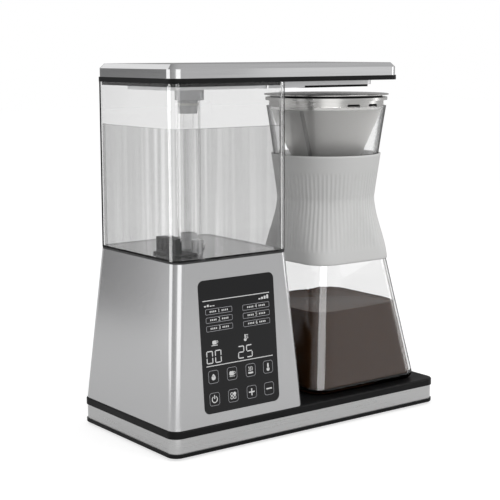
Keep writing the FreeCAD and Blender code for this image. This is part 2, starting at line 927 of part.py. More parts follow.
def make_heater_relay():
    """Relay that switches the heater: a rounded case on a slightly wider foot."""
    inset = 2 * relay_case_inset
    case = centred(relay_width - inset, relay_depth - relay_foot, relay_height - inset, relay_foot)
    outer = [edge for edge in case.Edges if edge.BoundBox.YMin < -relay_foot - sliver]
    case = case.makeFillet(relay_round, outer)
    foot = centred(relay_width, relay_foot, relay_height)
    x0, x1, z0, z1 = power_board_edges()
    return on_power_board(fused([case, foot]), x1 - relay_from_side, z1 - relay_from_top)


def make_terminal_block():
    """Terminal block where the mains lead ends, with a wire hole and a screw well at each pole."""
    body = centred(terminal_width, terminal_depth, terminal_height)
    front = [edge for edge in body.Edges
             if edge.BoundBox.YMax < sliver - terminal_depth and edge.BoundBox.ZMax < 0]
    body = body.makeChamfer(terminal_chamfer, front)
    pitch = terminal_width / terminal_poles
    for pole in range(terminal_poles):
        x = (pole - (terminal_poles - 1) / 2) * pitch
        bottom = -terminal_height / 2
        body = body.cut(rod(x, -terminal_wire_rise, bottom, bottom + terminal_wire_depth,
                            terminal_wire_radius))
        body = body.cut(Part.makeCylinder(terminal_screw_radius, terminal_screw_depth,
                                          vec(x, -terminal_depth, terminal_wire_radius), vec(0, 1, 0)))
    x0, x1, z0, z1 = power_board_edges()
    return on_power_board(body, x0 + terminal_from_side, z0 + terminal_from_bottom)


def gland_x():
    """Place of the cord gland along the rear wall."""
    return tank_x + gland_offset


def make_cord_gland():
    """Strain relief bush in the rear wall, with its bore open."""
    x = gland_x()
    inner = -gland_inner_length
    start = vec(x, glue_gap, gland_height)
    flange = Part.makeCylinder(gland_flange_radius, gland_flange, start, vec(0, 1, 0))
    body = Part.makeCylinder(gland_body_radius, glue_gap - inner, vec(x, inner, gland_height), vec(0, 1, 0))
    bore = Part.makeCylinder(gland_bore_radius, gland_flange + glue_gap - inner, vec(x, inner, gland_height),
                             vec(0, 1, 0))
    return on_back(fused([flange, body]).cut(bore))


def spigot_places():
    """Axes of the intake and the riser, where spigots pass the tank's floor."""
    return [(intake_x, intake_y), (riser_x, 0)]


def make_tank_seal():
    """Dark gasket between the tower and the tank, with a lip round the tank's foot."""
    pad = ring_slab(tank_box, seal_inset, seal_width, tank_corner, housing_top, tank_bottom)
    lip = ring_slab(tank_box, seal_inset, seal_inset + seal_lip, tank_corner, tank_bottom,
                    tank_bottom + seal_lip_height)
    return fused([pad, lip])


def make_water_tank():
    """Clear tank, open above, with a notch where the duct crosses its right wall."""
    foot_top = tank_bottom + seal_lip_height
    foot = inset_slab(tank_box, tank_foot_inset, tank_corner, tank_bottom, foot_top)
    body = fused([foot, inset_slab(tank_box, 0, tank_corner, foot_top, tank_top)])
    body = body.cut(inset_slab(tank_box, tank_wall, tank_corner, tank_floor_top, tank_top))
    notch_half = duct_depth / 2 + loose_gap * 2
    body = body.cut(block(tank_x, tank_right, -notch_half, notch_half, duct_bottom - loose_gap, tank_top))
    for x, y in spigot_places():
        body = body.cut(rod(x, y, tank_bottom, tank_floor_top, spigot_radius + loose_gap))
    return body


def tail_bottom(drop):
    """Lower end of a spigot that hangs through the tray."""
    return housing_top - tray_thickness - nut_height - drop


def make_intake_strainer():
    """Slotted strainer cup with the spigot that feeds the pump."""
    base = tank_floor_top
    top = base + strainer_height
    cup = pipe_length(intake_x, intake_y, base, top, strainer_radius, strainer_radius - strainer_wall)
    cap = rod(intake_x, intake_y, top - strainer_wall, top, strainer_radius)
    foot = rod(intake_x, intake_y, base, base + strainer_wall, strainer_radius)
    tail = rod(intake_x, intake_y, tail_bottom(spigot_drop), base + strainer_wall, spigot_radius)
    body = fused([cup, cap, foot, tail])
    body = body.cut(rod(intake_x, intake_y, 0, top - strainer_wall, spigot_bore))
    for index in range(strainer_slots):
        slot = block(0, 2 * strainer_radius, -strainer_slot / 2, strainer_slot / 2,
                     base + 2 * strainer_wall, top - 2 * strainer_wall)
        body = body.cut(moved(slot, vec(intake_x, intake_y, 0), vec(0, 0, 1), 360 / strainer_slots * index))
    return body


def hex_nut(x, y, z0, z1, radius, bore):
    """Hexagonal nut."""
    points = []
    for index in range(7):
        angle = math.radians(60 * index)
        points.append(vec(x + radius * math.cos(angle), y + radius * math.sin(angle), z0))
    nut = Part.Face(Part.makePolygon(points)).extrude(vec(0, 0, z1 - z0))
    return nut.cut(rod(x, y, z0, z1, bore))


def make_tank_nuts():
    """Nuts under the tray that clamp the tank by the intake and the riser base."""
    z1 = housing_top - tray_thickness
    nuts = [hex_nut(x, y, z1 - nut_height, z1, nut_radius, spigot_radius + screw_gap)
            for x, y in spigot_places()]
    return Part.makeCompound(nuts)


def float_cage_box():
    """Plan of the float cage."""
    x0 = tank_left + float_cage_from_left
    y0 = -tank_half_depth + float_cage_from_front
    return x0, x0 + float_cage_length, y0, y0 + float_cage_depth


def make_float_cage():
    """Black plate on the tank's floor with a slotted box that guides the level float."""
    px = tank_left + floor_plate_from_left
    py = -tank_half_depth + floor_plate_from_front
    base = tank_floor_top + floor_plate_thickness
    plate = slab(px, px + floor_plate_length, py, py + floor_plate_depth, floor_plate_corner,
                 tank_floor_top, base)
    x0, x1, y0, y1 = float_cage_box()
    top = base + float_cage_height
    wall = float_cage_wall
    body = fused([plate, block(x0, x1, y0, y1, base, top)])
    body = body.cut(block(x0 + wall, x1 - wall, y0 + wall, y1 - wall, base, top - wall))
    pitch = (y1 - y0) / float_slots
    for index in range(float_slots):
        y = y0 + (index + 0.5) * pitch
        body = body.cut(block(x0, x1, y - float_slot / 2, y + float_slot / 2,
                              base + 2 * wall, top - 2 * wall))
    return body


def make_level_float():
    """Foam float with its magnet, free to rise in the cage."""
    x0, x1, y0, y1 = float_cage_box()
    base = tank_floor_top + floor_plate_thickness + seat_gap
    inset = float_cage_wall + float_clearance
    body = block(x0 + inset, x1 - inset, y0 + inset, y1 - inset, base, base + float_height)
    return body.makeFillet(float_round, body.Edges)


def make_riser_base():
    """Fitting on the tank's floor: flange, socket for the sheath and tail for the hose."""
    top = tank_floor_top + riser_flange
    socket = sheath_radius + seat_gap
    flange = rod(riser_x, 0, tank_floor_top, top, riser_flange_radius)
    wall = pipe_length(riser_x, 0, top, top + riser_collar_height, socket + riser_socket_wall, socket)
    post = rod(riser_x, 0, top, top + riser_socket_height, riser_radius + riser_socket_wall)
    tail = rod(riser_x, 0, tail_bottom(riser_tail), top, spigot_radius)
    body = fused([flange, wall, post, tail])
    body = body.cut(rod(riser_x, 0, 0, top + riser_socket_height, spigot_bore))
    return body.cut(rod(riser_x, 0, top, top + riser_socket_height, riser_radius + screw_gap))


def make_riser_tube():
    """Inner tube that carries hot water up to the lid."""
    z0 = tank_floor_top + riser_flange
    z1 = cone_bottom + riser_into_cone
    return pipe_length(riser_x, 0, z0, z1, riser_radius, riser_radius - riser_wall)


def make_riser_sheath():
    """Clear outer tube round the riser."""
    z0 = tank_floor_top + riser_flange
    z1 = coupling_bottom - loose_gap
    return pipe_length(riser_x, 0, z0, z1, sheath_radius, sheath_radius - sheath_wall)


def pump_levels():
    """Heights of the pump: inlet top, chamber top, chamber floor and motor top."""
    inlet_top = tail_bottom(spigot_drop) - intake_gap
    body_top = housing_top - pump_top_drop - nut_height
    body_bottom = body_top - 2 * pump_wall - pump_chamber
    return inlet_top, body_top, body_bottom


def make_pump_housing():
    """Pump body with an upright inlet and a side outlet."""
    inlet_top, top, bottom = pump_levels()
    chamber = pump_radius - pump_wall
    body = rod(intake_x, intake_y, bottom, top, pump_radius)
    inlet = rod(intake_x, intake_y, top, inlet_top, spigot_radius)
    outlet_z = (top + bottom) / 2
    start = vec(intake_x + pump_outlet_offset(), intake_y, outlet_z)
    outlet = Part.makeCylinder(spigot_radius, pump_radius + pump_outlet_reach, start, vec(0, 1, 0))
    body = fused([body, inlet, outlet])
    body = body.cut(rod(intake_x, intake_y, bottom + pump_wall, top - pump_wall, chamber))
    body = body.cut(rod(intake_x, intake_y, top - pump_wall, inlet_top, spigot_bore))
    body = body.cut(Part.makeCylinder(spigot_bore, pump_radius + pump_outlet_reach, start, vec(0, 1, 0)))
    return body.cut(rod(intake_x, intake_y, bottom, bottom + pump_wall, motor_shaft_radius + shaft_gap))


def pump_outlet_offset():
    """Sideways place of the outlet, tangent to the chamber."""
    return pump_radius - pump_wall - spigot_radius - pump_outlet_gap


def make_pump_motor():
    """Motor can under the pump body."""
    bottom = pump_levels()[2]
    can = rod(intake_x, intake_y, bottom - motor_height, bottom, motor_radius)
    bore = motor_shaft_radius + shaft_gap
    return can.cut(rod(intake_x, intake_y, bottom - motor_shaft_depth, bottom, bore))


def make_pump_rotor():
    """Impeller moulded on the motor's shaft: shaft, back plate, hub and blades."""
    bottom = pump_levels()[2]
    z0 = bottom + pump_wall + impeller_clearance
    top = z0 + impeller_height
    shaft = rod(intake_x, intake_y, bottom - motor_shaft_depth + loose_gap, top, motor_shaft_radius)
    plate = rod(intake_x, intake_y, z0, z0 + impeller_plate, impeller_radius)
    hub = rod(intake_x, intake_y, z0, top, impeller_hub)
    blades = []
    for index in range(impeller_blades):
        blade = block(impeller_hub / 2, impeller_radius - impeller_blade,
                      -impeller_blade / 2, impeller_blade / 2, z0, top - impeller_plate / 2)
        blades.append(moved(blade, vec(intake_x, intake_y, 0), vec(0, 0, 1), 360 / impeller_blades * index))
    return fused([shaft, plate, hub] + blades)


def stand_places():
    """Screw places in the pump stand's flange."""
    reach = motor_radius + loose_gap + stand_wall + stand_flange / 2
    return [(intake_x + reach * math.cos(math.radians(a)), intake_y + reach * math.sin(math.radians(a)))
            for a in (0, 120, 240)]


def make_pump_stand():
    """Cup on the deck that holds the motor."""
    inner = motor_radius + loose_gap
    outer = inner + stand_wall
    shelf = pump_levels()[2] - motor_height - seat_gap
    ledge = inner - stand_ledge
    flange_top = deck_top + stand_wall
    profile = [(ledge, deck_top), (outer + stand_flange, deck_top), (outer + stand_flange, flange_top),
               (outer, flange_top), (outer, shelf + stand_cup_depth), (inner, shelf + stand_cup_depth),
               (inner, shelf), (ledge, shelf), (ledge, shelf - stand_wall), (inner, shelf - stand_wall),
               (inner, flange_top), (ledge, flange_top)]
    body = spin(intake_x, intake_y, profile)
    for x, y in stand_places():
        body = body.cut(rod(x, y, deck_top, deck_top + stand_wall, screw_radius + screw_gap))
    return body


def heater_levels():
    """Lower and upper end of the flow heater's body."""
    z0 = deck_top + heater_lift
    return z0, z0 + heater_length


def make_heater_body():
    """Flow heater: closed tube with a side inlet below and an outlet above."""
    z0, z1 = heater_levels()
    inlet_z = z0 + heater_inlet_height
    body = rod(heater_x, heater_y, z0, z1, heater_radius)
    outlet = rod(heater_x, heater_y, z1, z1 + heater_spigot, spigot_radius)
    start = vec(heater_x, heater_y, inlet_z)
    inlet = Part.makeCylinder(spigot_radius, heater_radius + heater_spigot, start, vec(-1, 0, 0))
    body = fused([body, outlet, inlet])
    body = body.cut(rod(heater_x, heater_y, z0 + heater_wall, z1 - heater_wall, heater_radius - heater_wall))
    body = body.cut(rod(heater_x, heater_y, z1 - heater_wall, z1 + heater_spigot, spigot_bore))
    body = body.cut(Part.makeCylinder(spigot_bore, heater_radius + heater_spigot, start, vec(-1, 0, 0)))
    for side in (-1, 1):
        body = body.cut(rod(heater_x, heater_y + side * rod_spread, z0, z0 + heater_wall,
                            rod_radius + screw_gap))
    return body


def make_heating_element():
    """U-shaped heating rod with its pins through the heater's lower end."""
    z0, z1 = heater_levels()
    top = z1 - heater_wall - rod_spread - rod_radius - rod_top_gap
    points = [vec(heater_x, heater_y - rod_spread, z0 - rod_pins), vec(heater_x, heater_y - rod_spread, top),
              vec(heater_x, heater_y, top + rod_spread), vec(heater_x, heater_y + rod_spread, top),
              vec(heater_x, heater_y + rod_spread, z0 - rod_pins)]
    path = Part.Wire([Part.LineSegment(points[0], points[1]).toShape(), Part.Arc(*points[1:4]).toShape(),
                      Part.LineSegment(points[3], points[4]).toShape()])
    return swept(path, rod_radius)


def bracket_plate_y():
    """Front face of the heater bracket's upright plate."""
    return heater_y + heater_radius + loose_gap


def bracket_places():
    """Screw places in the heater bracket's foot."""
    y = bracket_plate_y() - bracket_width / 2
    return [(heater_x + side * bracket_screw_spread, y) for side in (-1, 1)]


def make_heater_bracket():
    """Bracket on the deck: foot, upright plate and two rings round the heater."""
    z0, z1 = heater_levels()
    half = bracket_width / 2
    back = bracket_plate_y()
    foot = block(heater_x - half, heater_x + half, back - bracket_width, back + bracket_thickness,
                 deck_top, deck_top + bracket_thickness)
    upright = block(heater_x - half, heater_x + half, back, back + bracket_thickness,
                    deck_top, z0 + bracket_ring_high + bracket_ring_height)
    rings = []
    for level in (z0 + bracket_ring_low, z0 + bracket_ring_high):
        rings.append(pipe_length(heater_x, heater_y, level, level + bracket_ring_height,
                                 heater_radius + seat_gap + bracket_thickness, heater_radius + seat_gap))
    body = fused([foot, upright] + rings)
    body = body.cut(rod(heater_x, heater_y, deck_top + bracket_thickness, z1, heater_radius + seat_gap))
    for x, y in bracket_places():
        body = body.cut(rod(x, y, deck_top, deck_top + bracket_thickness, screw_radius + screw_gap))
    return body


def make_bracket_screws():
    """Screws that hold the pump stand and the heater bracket to the deck."""
    screws = []
    for places, thickness in ((stand_places(), stand_wall), (bracket_places(), bracket_thickness)):
        for x, y in places:
            screws.append(screw(x, y, deck_top + thickness + screw_head, deck_under + seat_gap))
    return Part.makeCompound(screws)


def make_thermal_cutoffs():
    """Two disc cut-outs on the heater, below and above the bracket's low ring, each with two blades."""
    z0 = heater_levels()[0]
    below = z0 + bracket_ring_low - cutoff_ring_gap - cutoff_cap_radius
    above = z0 + bracket_ring_low + bracket_ring_height + cutoff_rise + cutoff_cap_radius
    x = heater_x + heater_radius + seat_gap
    along = vec(1, 0, 0)
    pieces = []
    for level in (below, above):
        cap = Part.makeCylinder(cutoff_cap_radius, cutoff_cap, vec(x, heater_y, level), along)
        body = Part.makeCylinder(cutoff_body_radius, cutoff_cap + cutoff_body, vec(x, heater_y, level), along)
        root = x + cutoff_cap
        tip = root + cutoff_body + cutoff_blade_length
        blades = [block(root, tip, y - cutoff_blade / 2, y + cutoff_blade / 2,
                        level - cutoff_blade_width / 2, level + cutoff_blade_width / 2)
                  for y in (heater_y - cutoff_blade_spread, heater_y + cutoff_blade_spread)]
        pieces.append(fused([cap, body] + blades))
    return Part.makeCompound(pieces)


def hose_ends():
    """End points of the three hoses, from name to route."""
    inlet_top, pump_top, pump_bottom = pump_levels()
    z0, z1 = heater_levels()
    tail = tail_bottom(spigot_drop)
    riser_end = tail_bottom(riser_tail)
    outlet_x = intake_x + pump_outlet_offset()
    outlet_y = intake_y + pump_radius + pump_outlet_reach - hose_overlap
    outlet_z = (pump_top + pump_bottom) / 2
    inlet_x = heater_x - heater_radius - heater_spigot + hose_overlap
    inlet_z = z0 + heater_inlet_height
    cross = (z1 + heater_spigot + riser_end) / 2
    return {
        "intake_hose": [vec(intake_x, intake_y, inlet_top - hose_overlap),
                        vec(intake_x, intake_y, tail + hose_overlap)],
        "pump_hose": [vec(outlet_x, outlet_y, outlet_z), vec(outlet_x, heater_y, outlet_z),
                      vec(outlet_x, heater_y, inlet_z), vec(inlet_x, heater_y, inlet_z)],
        "riser_hose": [vec(heater_x, heater_y, z1 + heater_spigot - hose_overlap),
                       vec(heater_x, heater_y, cross), vec(riser_x, 0, cross),
                       vec(riser_x, 0, riser_end + hose_overlap)],
    }


def make_hose(name):
    """One of the hoses, by name."""
    points = hose_ends()[name]
    if len(points) > 2:
        return hose(name, points)
    start, end = points
    return pipe_length(start.x, start.y, min(start.z, end.z), max(start.z, end.z), hose_radius,
                       spigot_radius + screw_gap)


def make_hose_clamps():
    """Spring clamps, one near each hose end."""
    clamps = []
    for points in hose_ends().values():
        for end, inward in ((points[0], points[1]), (points[-1], points[-2])):
            along = (inward - end).normalize()
            start = end + along * clamp_inset
            ring = Part.makeCylinder(clamp_radius, clamp_width, start, along)
            clamps.append(ring.cut(Part.makeCylinder(hose_radius + screw_gap, clamp_width, start, along)))
    return Part.makeCompound(clamps)


def make_lid_base():
    """Black plate of the lid: rim strip, plate and a rib that drops inside the tank."""
    body = inset_slab(lid_box, 0, lid_corner, tank_top, strip_top)
    body = body.cut(inset_slab(lid_box, lid_rim_width, lid_corner, tank_top + lid_plate, strip_top))
    gap = tank_wall + loose_gap
    rib = ring_slab(tank_box, gap, gap + lid_rib_wall, tank_corner, tank_top - lid_rib_depth, tank_top)
    beside = duct_depth / 2 + lid_rib_gap
    keep_out = block(duct_left, duct_right, -beside, beside, tank_top - lid_rib_depth, tank_top)
    body = fused([body, rib.cut(keep_out)])
    for x, y in duct_post_places():
        body = body.cut(rod(x, y, tank_top, tank_top + lid_plate, screw_radius + screw_gap))
    return body


def make_lid_cover():
    """Silver cover of the lid, with a bevel round its top."""
    inset = lid_cover_inset
    skin = lid_cover_wall

    def formed(extra, top_extra):
        """Wall block with the bevelled top above it."""
        wall = inset_slab(lid_box, inset + extra, lid_corner, strip_top, lid_wall_top - top_extra)
        x0, x1, y0, y1 = lid_box
        low = inset + extra
        high = low + lid_bevel_run
        lower = outline(x0 + low, x1 - low, y0 + low, y1 - low, lid_corner - low, lid_wall_top - top_extra)
        upper = outline(x0 + high, x1 - high, y0 + high, y1 - high, lid_corner - high + lid_bevel_corner,
                        lid_top - top_extra)
        return fused([wall, Part.makeLoft([lower, upper], True, True)])

    return formed(0, 0).cut(formed(skin, skin))


def duct_post_places():
    """Screw posts inside the duct's tray."""
    inset = duct_wall + duct_post_radius - duct_post_merge
    y = duct_depth / 2 - inset
    left = duct_left + inset
    right = duct_right - inset
    return [(x, side * y) for x in (left, (left + right) / 2, right) for side in (-1, 1)]


def duct_under(x):
    """Height of the duct's underside, which is higher over the shower's plate."""
    return shower_top if x > shower_left else duct_bottom


def make_duct_tray():
    """Tray under the lid that leads the water from the riser up over the shower's plate."""
    half = duct_depth / 2 + loose_gap
    seat_left = shower_left - loose_gap
    body = inset_slab(duct_box, 0, duct_corner, duct_bottom, gasket_bottom)
    body = body.cut(inset_slab(duct_box, duct_wall, duct_corner, shower_top + duct_floor, gasket_bottom))
    deep = inset_slab(duct_box, duct_wall, duct_corner, duct_bottom + duct_floor, gasket_bottom)
    left_part = block(duct_left, seat_left - duct_wall, -half, half, duct_bottom, gasket_bottom)
    body = body.cut(deep.common(left_part))
    posts = [rod(x, y, duct_bottom, gasket_bottom, duct_post_radius) for x, y in duct_post_places()]
    body = fused([body] + posts)
    body = body.cut(block(seat_left, duct_right + loose_gap, -half, half,
                          duct_bottom - loose_gap, shower_top))
    body = body.cut(rod(carafe_x, 0, shower_top, shower_top + duct_floor, shower_well))
    body = body.cut(rod(riser_x, 0, duct_bottom, duct_bottom + duct_floor, riser_radius))
    for x, y in duct_post_places():
        under = duct_under(x)
        body = body.cut(rod(x, y, under, gasket_bottom, screw_radius + screw_gap))
        body = body.cut(rod(x, y, under, under + screw_head + seat_gap,
                            duct_screw_head_radius + loose_gap))
    return body


def make_duct_gasket():
    """Thin gasket between the duct's rim and the lid's plate."""
    return ring_slab(duct_box, seat_gap, duct_wall, duct_corner, gasket_bottom, tank_top)


def make_lid_screws():
    """Screws from below that hold the duct to the lid."""
    tip = tank_top + lid_plate - seat_gap
    return Part.makeCompound([screw(x, y, duct_under(x) + seat_gap, tip, screw_radius, duct_screw_head_radius)
                              for x, y in duct_post_places()])


def make_coupling_block():
    """Round block under the duct, above the riser."""
    body = rod(riser_x, 0, coupling_bottom, duct_bottom, coupling_radius)
    lower = [edge for edge in body.Edges if edge.BoundBox.ZMax < coupling_bottom + sliver]
    body = body.makeFillet(coupling_round, lower)
    return body.cut(rod(riser_x, 0, coupling_bottom, duct_bottom, riser_radius - riser_wall))


def make_coupling_cone():
    """Plug that drops into the sheath and takes the riser's end."""
    lower = riser_radius + plug_gap
    step = cone_bottom + riser_into_cone + loose_gap
    bore = riser_radius - riser_wall
    groove_top = coupling_bottom - cone_groove_drop
    groove_bottom = groove_top - cone_ring_height - 2 * seat_gap
    neck = cone_top_radius - cone_groove_depth
    profile = [(lower, cone_bottom), (cone_tip_radius, cone_bottom), (cone_top_radius, groove_bottom),
               (neck, groove_bottom), (neck, groove_top), (cone_top_radius, groove_top),
               (cone_top_radius, coupling_bottom), (bore, coupling_bottom), (bore, step), (lower, step)]
    return spin(riser_x, 0, profile)


def make_coupling_ring():
    """Sealing ring in the plug's groove."""
    top = coupling_bottom - cone_groove_drop - seat_gap
    inner = cone_top_radius - cone_groove_depth + shaft_gap
    return pipe_length(riser_x, 0, top - cone_ring_height, top, sheath_radius - sheath_wall - ring_fit, inner)


def make_shower_plate():
    """Black plate set into the duct's underside, perforated over the filter."""
    half = duct_depth / 2 - shower_inset
    plate = slab(shower_left, carafe_x + shower_right_reach, -half, half, duct_corner - shower_inset,
                 shower_bottom, shower_top)
    holes = []
    for x, y in hole_rings(shower_pitch, shower_rings):
        holes.append(rod(x, y, shower_bottom, shower_top, shower_hole))
    return plate.cut(Part.makeCompound(holes))


def hole_rings(pitch, rings):
    """Centres of holes in rings about the carafe's axis, one in the middle."""
    places = [(carafe_x, 0)]
    for ring in range(1, rings + 1):
        for index in range(6 * ring):
            angle = 2 * math.pi * index / (6 * ring)
            places.append((carafe_x + ring * pitch * math.cos(angle), ring * pitch * math.sin(angle)))
    return places


def smooth(t):
    """Smooth step from 0 to 1."""
    return t * t * (3 - 2 * t)


def carafe_half(level):
    """Half width of the carafe's plan at a level above the deck."""
    if level <= carafe_square_level:
        return carafe_foot_half + (carafe_square_half - carafe_foot_half) * level / carafe_square_level
    if level <= carafe_waist_level:
        t = (level - carafe_square_level) / (carafe_waist_level - carafe_square_level)
        return carafe_square_half + (carafe_waist_radius - carafe_square_half) * t
    t = (level - carafe_waist_level) / (carafe_rim_level - carafe_waist_level)
    share = t - carafe_flare_bend * t * (1 - t)
    return carafe_waist_radius + (carafe_rim_radius - carafe_waist_radius) * share


def carafe_corner(level):
    """Corner radius of the carafe's plan: nearly the half width where it is round."""
    if level <= carafe_square_level:
        return carafe_square_corner
    t = min((level - carafe_square_level) / (carafe_waist_level - carafe_square_level), 1)
    round_corner = carafe_half(level) - carafe_round_side
    return carafe_square_corner + (round_corner - carafe_square_corner) * smooth(t)


def section_radius(half, corner, angle):
    """Distance from the axis to a rounded square's edge in the direction of angle."""
    c = abs(math.cos(angle))
    d = abs(math.sin(angle))
    side = half / max(c, d)
    if min(c, d) * side <= half - corner:
        return side
    centre = half - corner
    along = centre * (c + d)
    return along + math.sqrt(max(along * along - 2 * centre * centre + corner * corner, 0.0))


def section_curve(half, corner, z):
    """Closed wire of four curves through points of a rounded square, closer together at the corners."""
    edges = []
    for quarter in range(4):
        points = []
        for index in range(quarter_points + 1):
            turn = math.pi / 2 * (quarter + index / quarter_points)
            angle = turn + section_crowding * math.sin(4 * turn) / 4
            radius = section_radius(half, corner, angle)
            points.append(vec(carafe_x + radius * math.cos(angle), radius * math.sin(angle), z))
        start = math.pi / 2 * quarter
        end = start + math.pi / 2
        curve = Part.BSplineCurve()
        shares = [index / quarter_points for index in range(quarter_points + 1)]
        curve.interpolate(Points=points, Parameters=shares,
                          InitialTangent=vec(-math.sin(start), math.cos(start), 0),
                          FinalTangent=vec(-math.sin(end), math.cos(end), 0))
        edges.append(curve.toShape())
    return Part.Wire(edges)


def carafe_section(level, offset):
    """Wire of the carafe's plan at a level, grown by an offset."""
    return section_curve(carafe_half(level) + offset, carafe_corner(level) + offset, carafe_base + level)


def foot_sections(low, offset, radius):
    """Wires of the rounded edge that rises from a flat bottom at level low."""
    lean = math.atan2(carafe_foot_half - carafe_square_half, carafe_square_level)
    sweep = math.pi / 2 + lean
    wall = carafe_half(low) + offset
    centre = wall - radius * (1 + math.sin(lean)) / math.cos(lean)
    wires = []
    for step in range(foot_steps + 1):
        turn = sweep * step / foot_steps - math.pi / 2
        half = centre + radius * math.cos(turn)
        level = low + radius * (1 + math.sin(turn))
        corner = carafe_square_corner + half - carafe_half(level)
        wires.append(section_curve(half, corner, carafe_base + level))
    return wires, level


def walls(wires):
    """Smooth side faces through wires."""
    return Part.makeLoft(wires, False, False).Faces


def side_faces(low, high, offset_low, offset_high):
    """Side faces of the carafe's form between two levels, grown by an offset that changes with the level."""
    between = [level for level in (carafe_square_level, carafe_waist_level) if low < level < high]
    breaks = [low] + between + [high]
    grow = (offset_high - offset_low) / (high - low)
    faces = []
    for start, end in zip(breaks, breaks[1:]):
        steps = 1 if end <= carafe_square_level else span_steps
        levels = [start + (end - start) * step / steps for step in range(steps + 1)]
        faces += walls([carafe_section(level, offset_low + grow * (level - low)) for level in levels])
    return faces


def closed(faces):
    """Solid from faces that meet edge to edge."""
    sewn = Part.makeCompound(faces)
    sewn.sewShape()
    solid = Part.Solid(sewn.Shells[0])
    if solid.Volume < 0:
        solid.reverse()
    return solid


def ring_face(outer, inner):
    """Flat face between two wires."""
    return Part.makeFace([outer, inner], "Part::FaceMakerBullseye")


def skin(low, offset, radius):
    """Bottom face, side faces and top wire of the carafe's form from a flat bottom up to the rim."""
    foot, foot_top = foot_sections(low, offset, radius)
    sides = side_faces(foot_top, carafe_rim_level, offset, offset)
    return [Part.Face(foot[0])] + walls(foot) + sides, carafe_section(carafe_rim_level, offset)


def make_carafe_glass():
    """Clear glass carafe, open above."""
    outer, outer_rim = skin(0.0, 0.0, carafe_foot_round)
    inner, inner_rim = skin(glass_floor, -glass_wall, carafe_foot_round - glass_wall)
    return closed(outer + inner + [ring_face(outer_rim, inner_rim)])


def make_carafe_sleeve():
    """Ribbed sleeve round the waist of the carafe."""
    low = sleeve_bottom_level
    high = sleeve_top_level
    low_offset = sleeve_gap + sleeve_bottom_wall
    high_offset = sleeve_gap + sleeve_top_wall
    faces = side_faces(low, high, low_offset, high_offset) + side_faces(low, high, sleeve_gap, sleeve_gap)
    faces.append(ring_face(carafe_section(low, low_offset), carafe_section(low, sleeve_gap)))
    faces.append(ring_face(carafe_section(high, high_offset), carafe_section(high, sleeve_gap)))
    return closed(faces)


def mouth_radius(z):
    """Inner radius of the carafe's mouth at height z."""
    return carafe_half(z - carafe_base) - glass_wall


def collar_levels():
    """Heights of the filter's collar: skirt end, glass rim, flange and top."""
    rim = carafe_base + carafe_rim_level
    return rim - collar_skirt, rim, rim + collar_rise, collar_top


def make_filter_collar():
    """Steel collar that sits in the carafe's mouth, with vent slots above the glass."""
    foot, rim, flange, top = collar_levels()
    upper = mouth_radius(rim) - loose_gap
    lower = mouth_radius(foot) - loose_gap
    wall = collar_wall
    profile = [(lower - wall, foot), (lower, foot), (upper, rim), (upper, flange),
               (collar_flange_radius, flange), (collar_flange_radius, top), (upper - wall, top),
               (upper - wall, rim)]
    body = spin(carafe_x, 0, profile)
    z = rim + vent_rise
    for half_turn in (0, 180):
        for side in (-1, 1):
            slot = slab(-vent_slot_length / 2, vent_slot_length / 2, z, z + vent_slot_height,
                        vent_slot_height / 2 - sliver, 0, vent_cut)
            slot = moved(slot, vec(0, vent_cut / 2 - upper, 0), vec(1, 0, 0), 90)
            body = body.cut(moved_about(slot, half_turn + side * vent_pair_angle))
    return body


def moved_about(shape, angle):
    """Copy of a shape drawn about the origin, turned about +Z and moved to the carafe's axis."""
    turned = shape.copy()
    turned.rotate(vec(0, 0, 0), vec(0, 0, 1), angle)
    turned.translate(vec(carafe_x, 0, 0))
    return turned


def mesh_top_radius():
    """Outer radius of the mesh where the collar grips it."""
    return mouth_radius(collar_levels()[0]) - loose_gap - collar_wall - seat_gap


def tip_height():
    """Height of the mesh cone's lower end."""
    return collar_levels()[0] - (mesh_top_radius() - tip_radius) / mesh_slope


def make_filter_mesh():
    """Conical mesh, open above and below."""
    foot = collar_levels()[0]
    top_radius = mesh_top_radius()
    wall = mesh_wall
    profile = [(top_radius - wall, foot + mesh_grip), (top_radius, foot + mesh_grip), (top_radius, foot),
               (tip_radius, tip_height()), (tip_radius - wall, tip_height()), (top_radius - wall, foot)]
    return spin(carafe_x, 0, profile)


def make_filter_tip():
    """Cap that closes the cone's lower end."""
    z = tip_height()
    grip = tip_radius + mesh_slope * tip_grip + seat_gap
    inner = tip_radius + seat_gap
    profile = [(0, z - tip_wall - seat_gap), (inner + tip_wall, z - tip_wall - seat_gap),
               (grip + tip_wall, z + tip_grip), (grip, z + tip_grip), (inner, z - seat_gap),
               (0, z - seat_gap)]
    return spin(carafe_x, 0, profile)


def make_filter_seal():
    """Black ring between the collar and the filter's lid."""
    top = collar_levels()[3]
    return pipe_length(carafe_x, 0, top + seat_gap, top + filter_ring_height, filter_ring_radius,
                       filter_ring_radius - filter_ring_width)


def make_filter_lid():
    """Thin disc over the filter, with drip holes under the shower."""
    z0 = collar_levels()[3] + filter_ring_height
    disc = rod(carafe_x, 0, z0, z0 + filter_lid_thickness, filter_lid_radius)
    rim = [edge for edge in disc.Edges if edge.BoundBox.ZLength < sliver]
    disc = disc.makeFillet(filter_lid_round, rim)
    holes = []
    for x, y in hole_rings(drip_pitch, drip_rings):
        holes.append(rod(x, y, z0, z0 + filter_lid_thickness, drip_hole))
    return disc.cut(Part.makeCompound(holes))


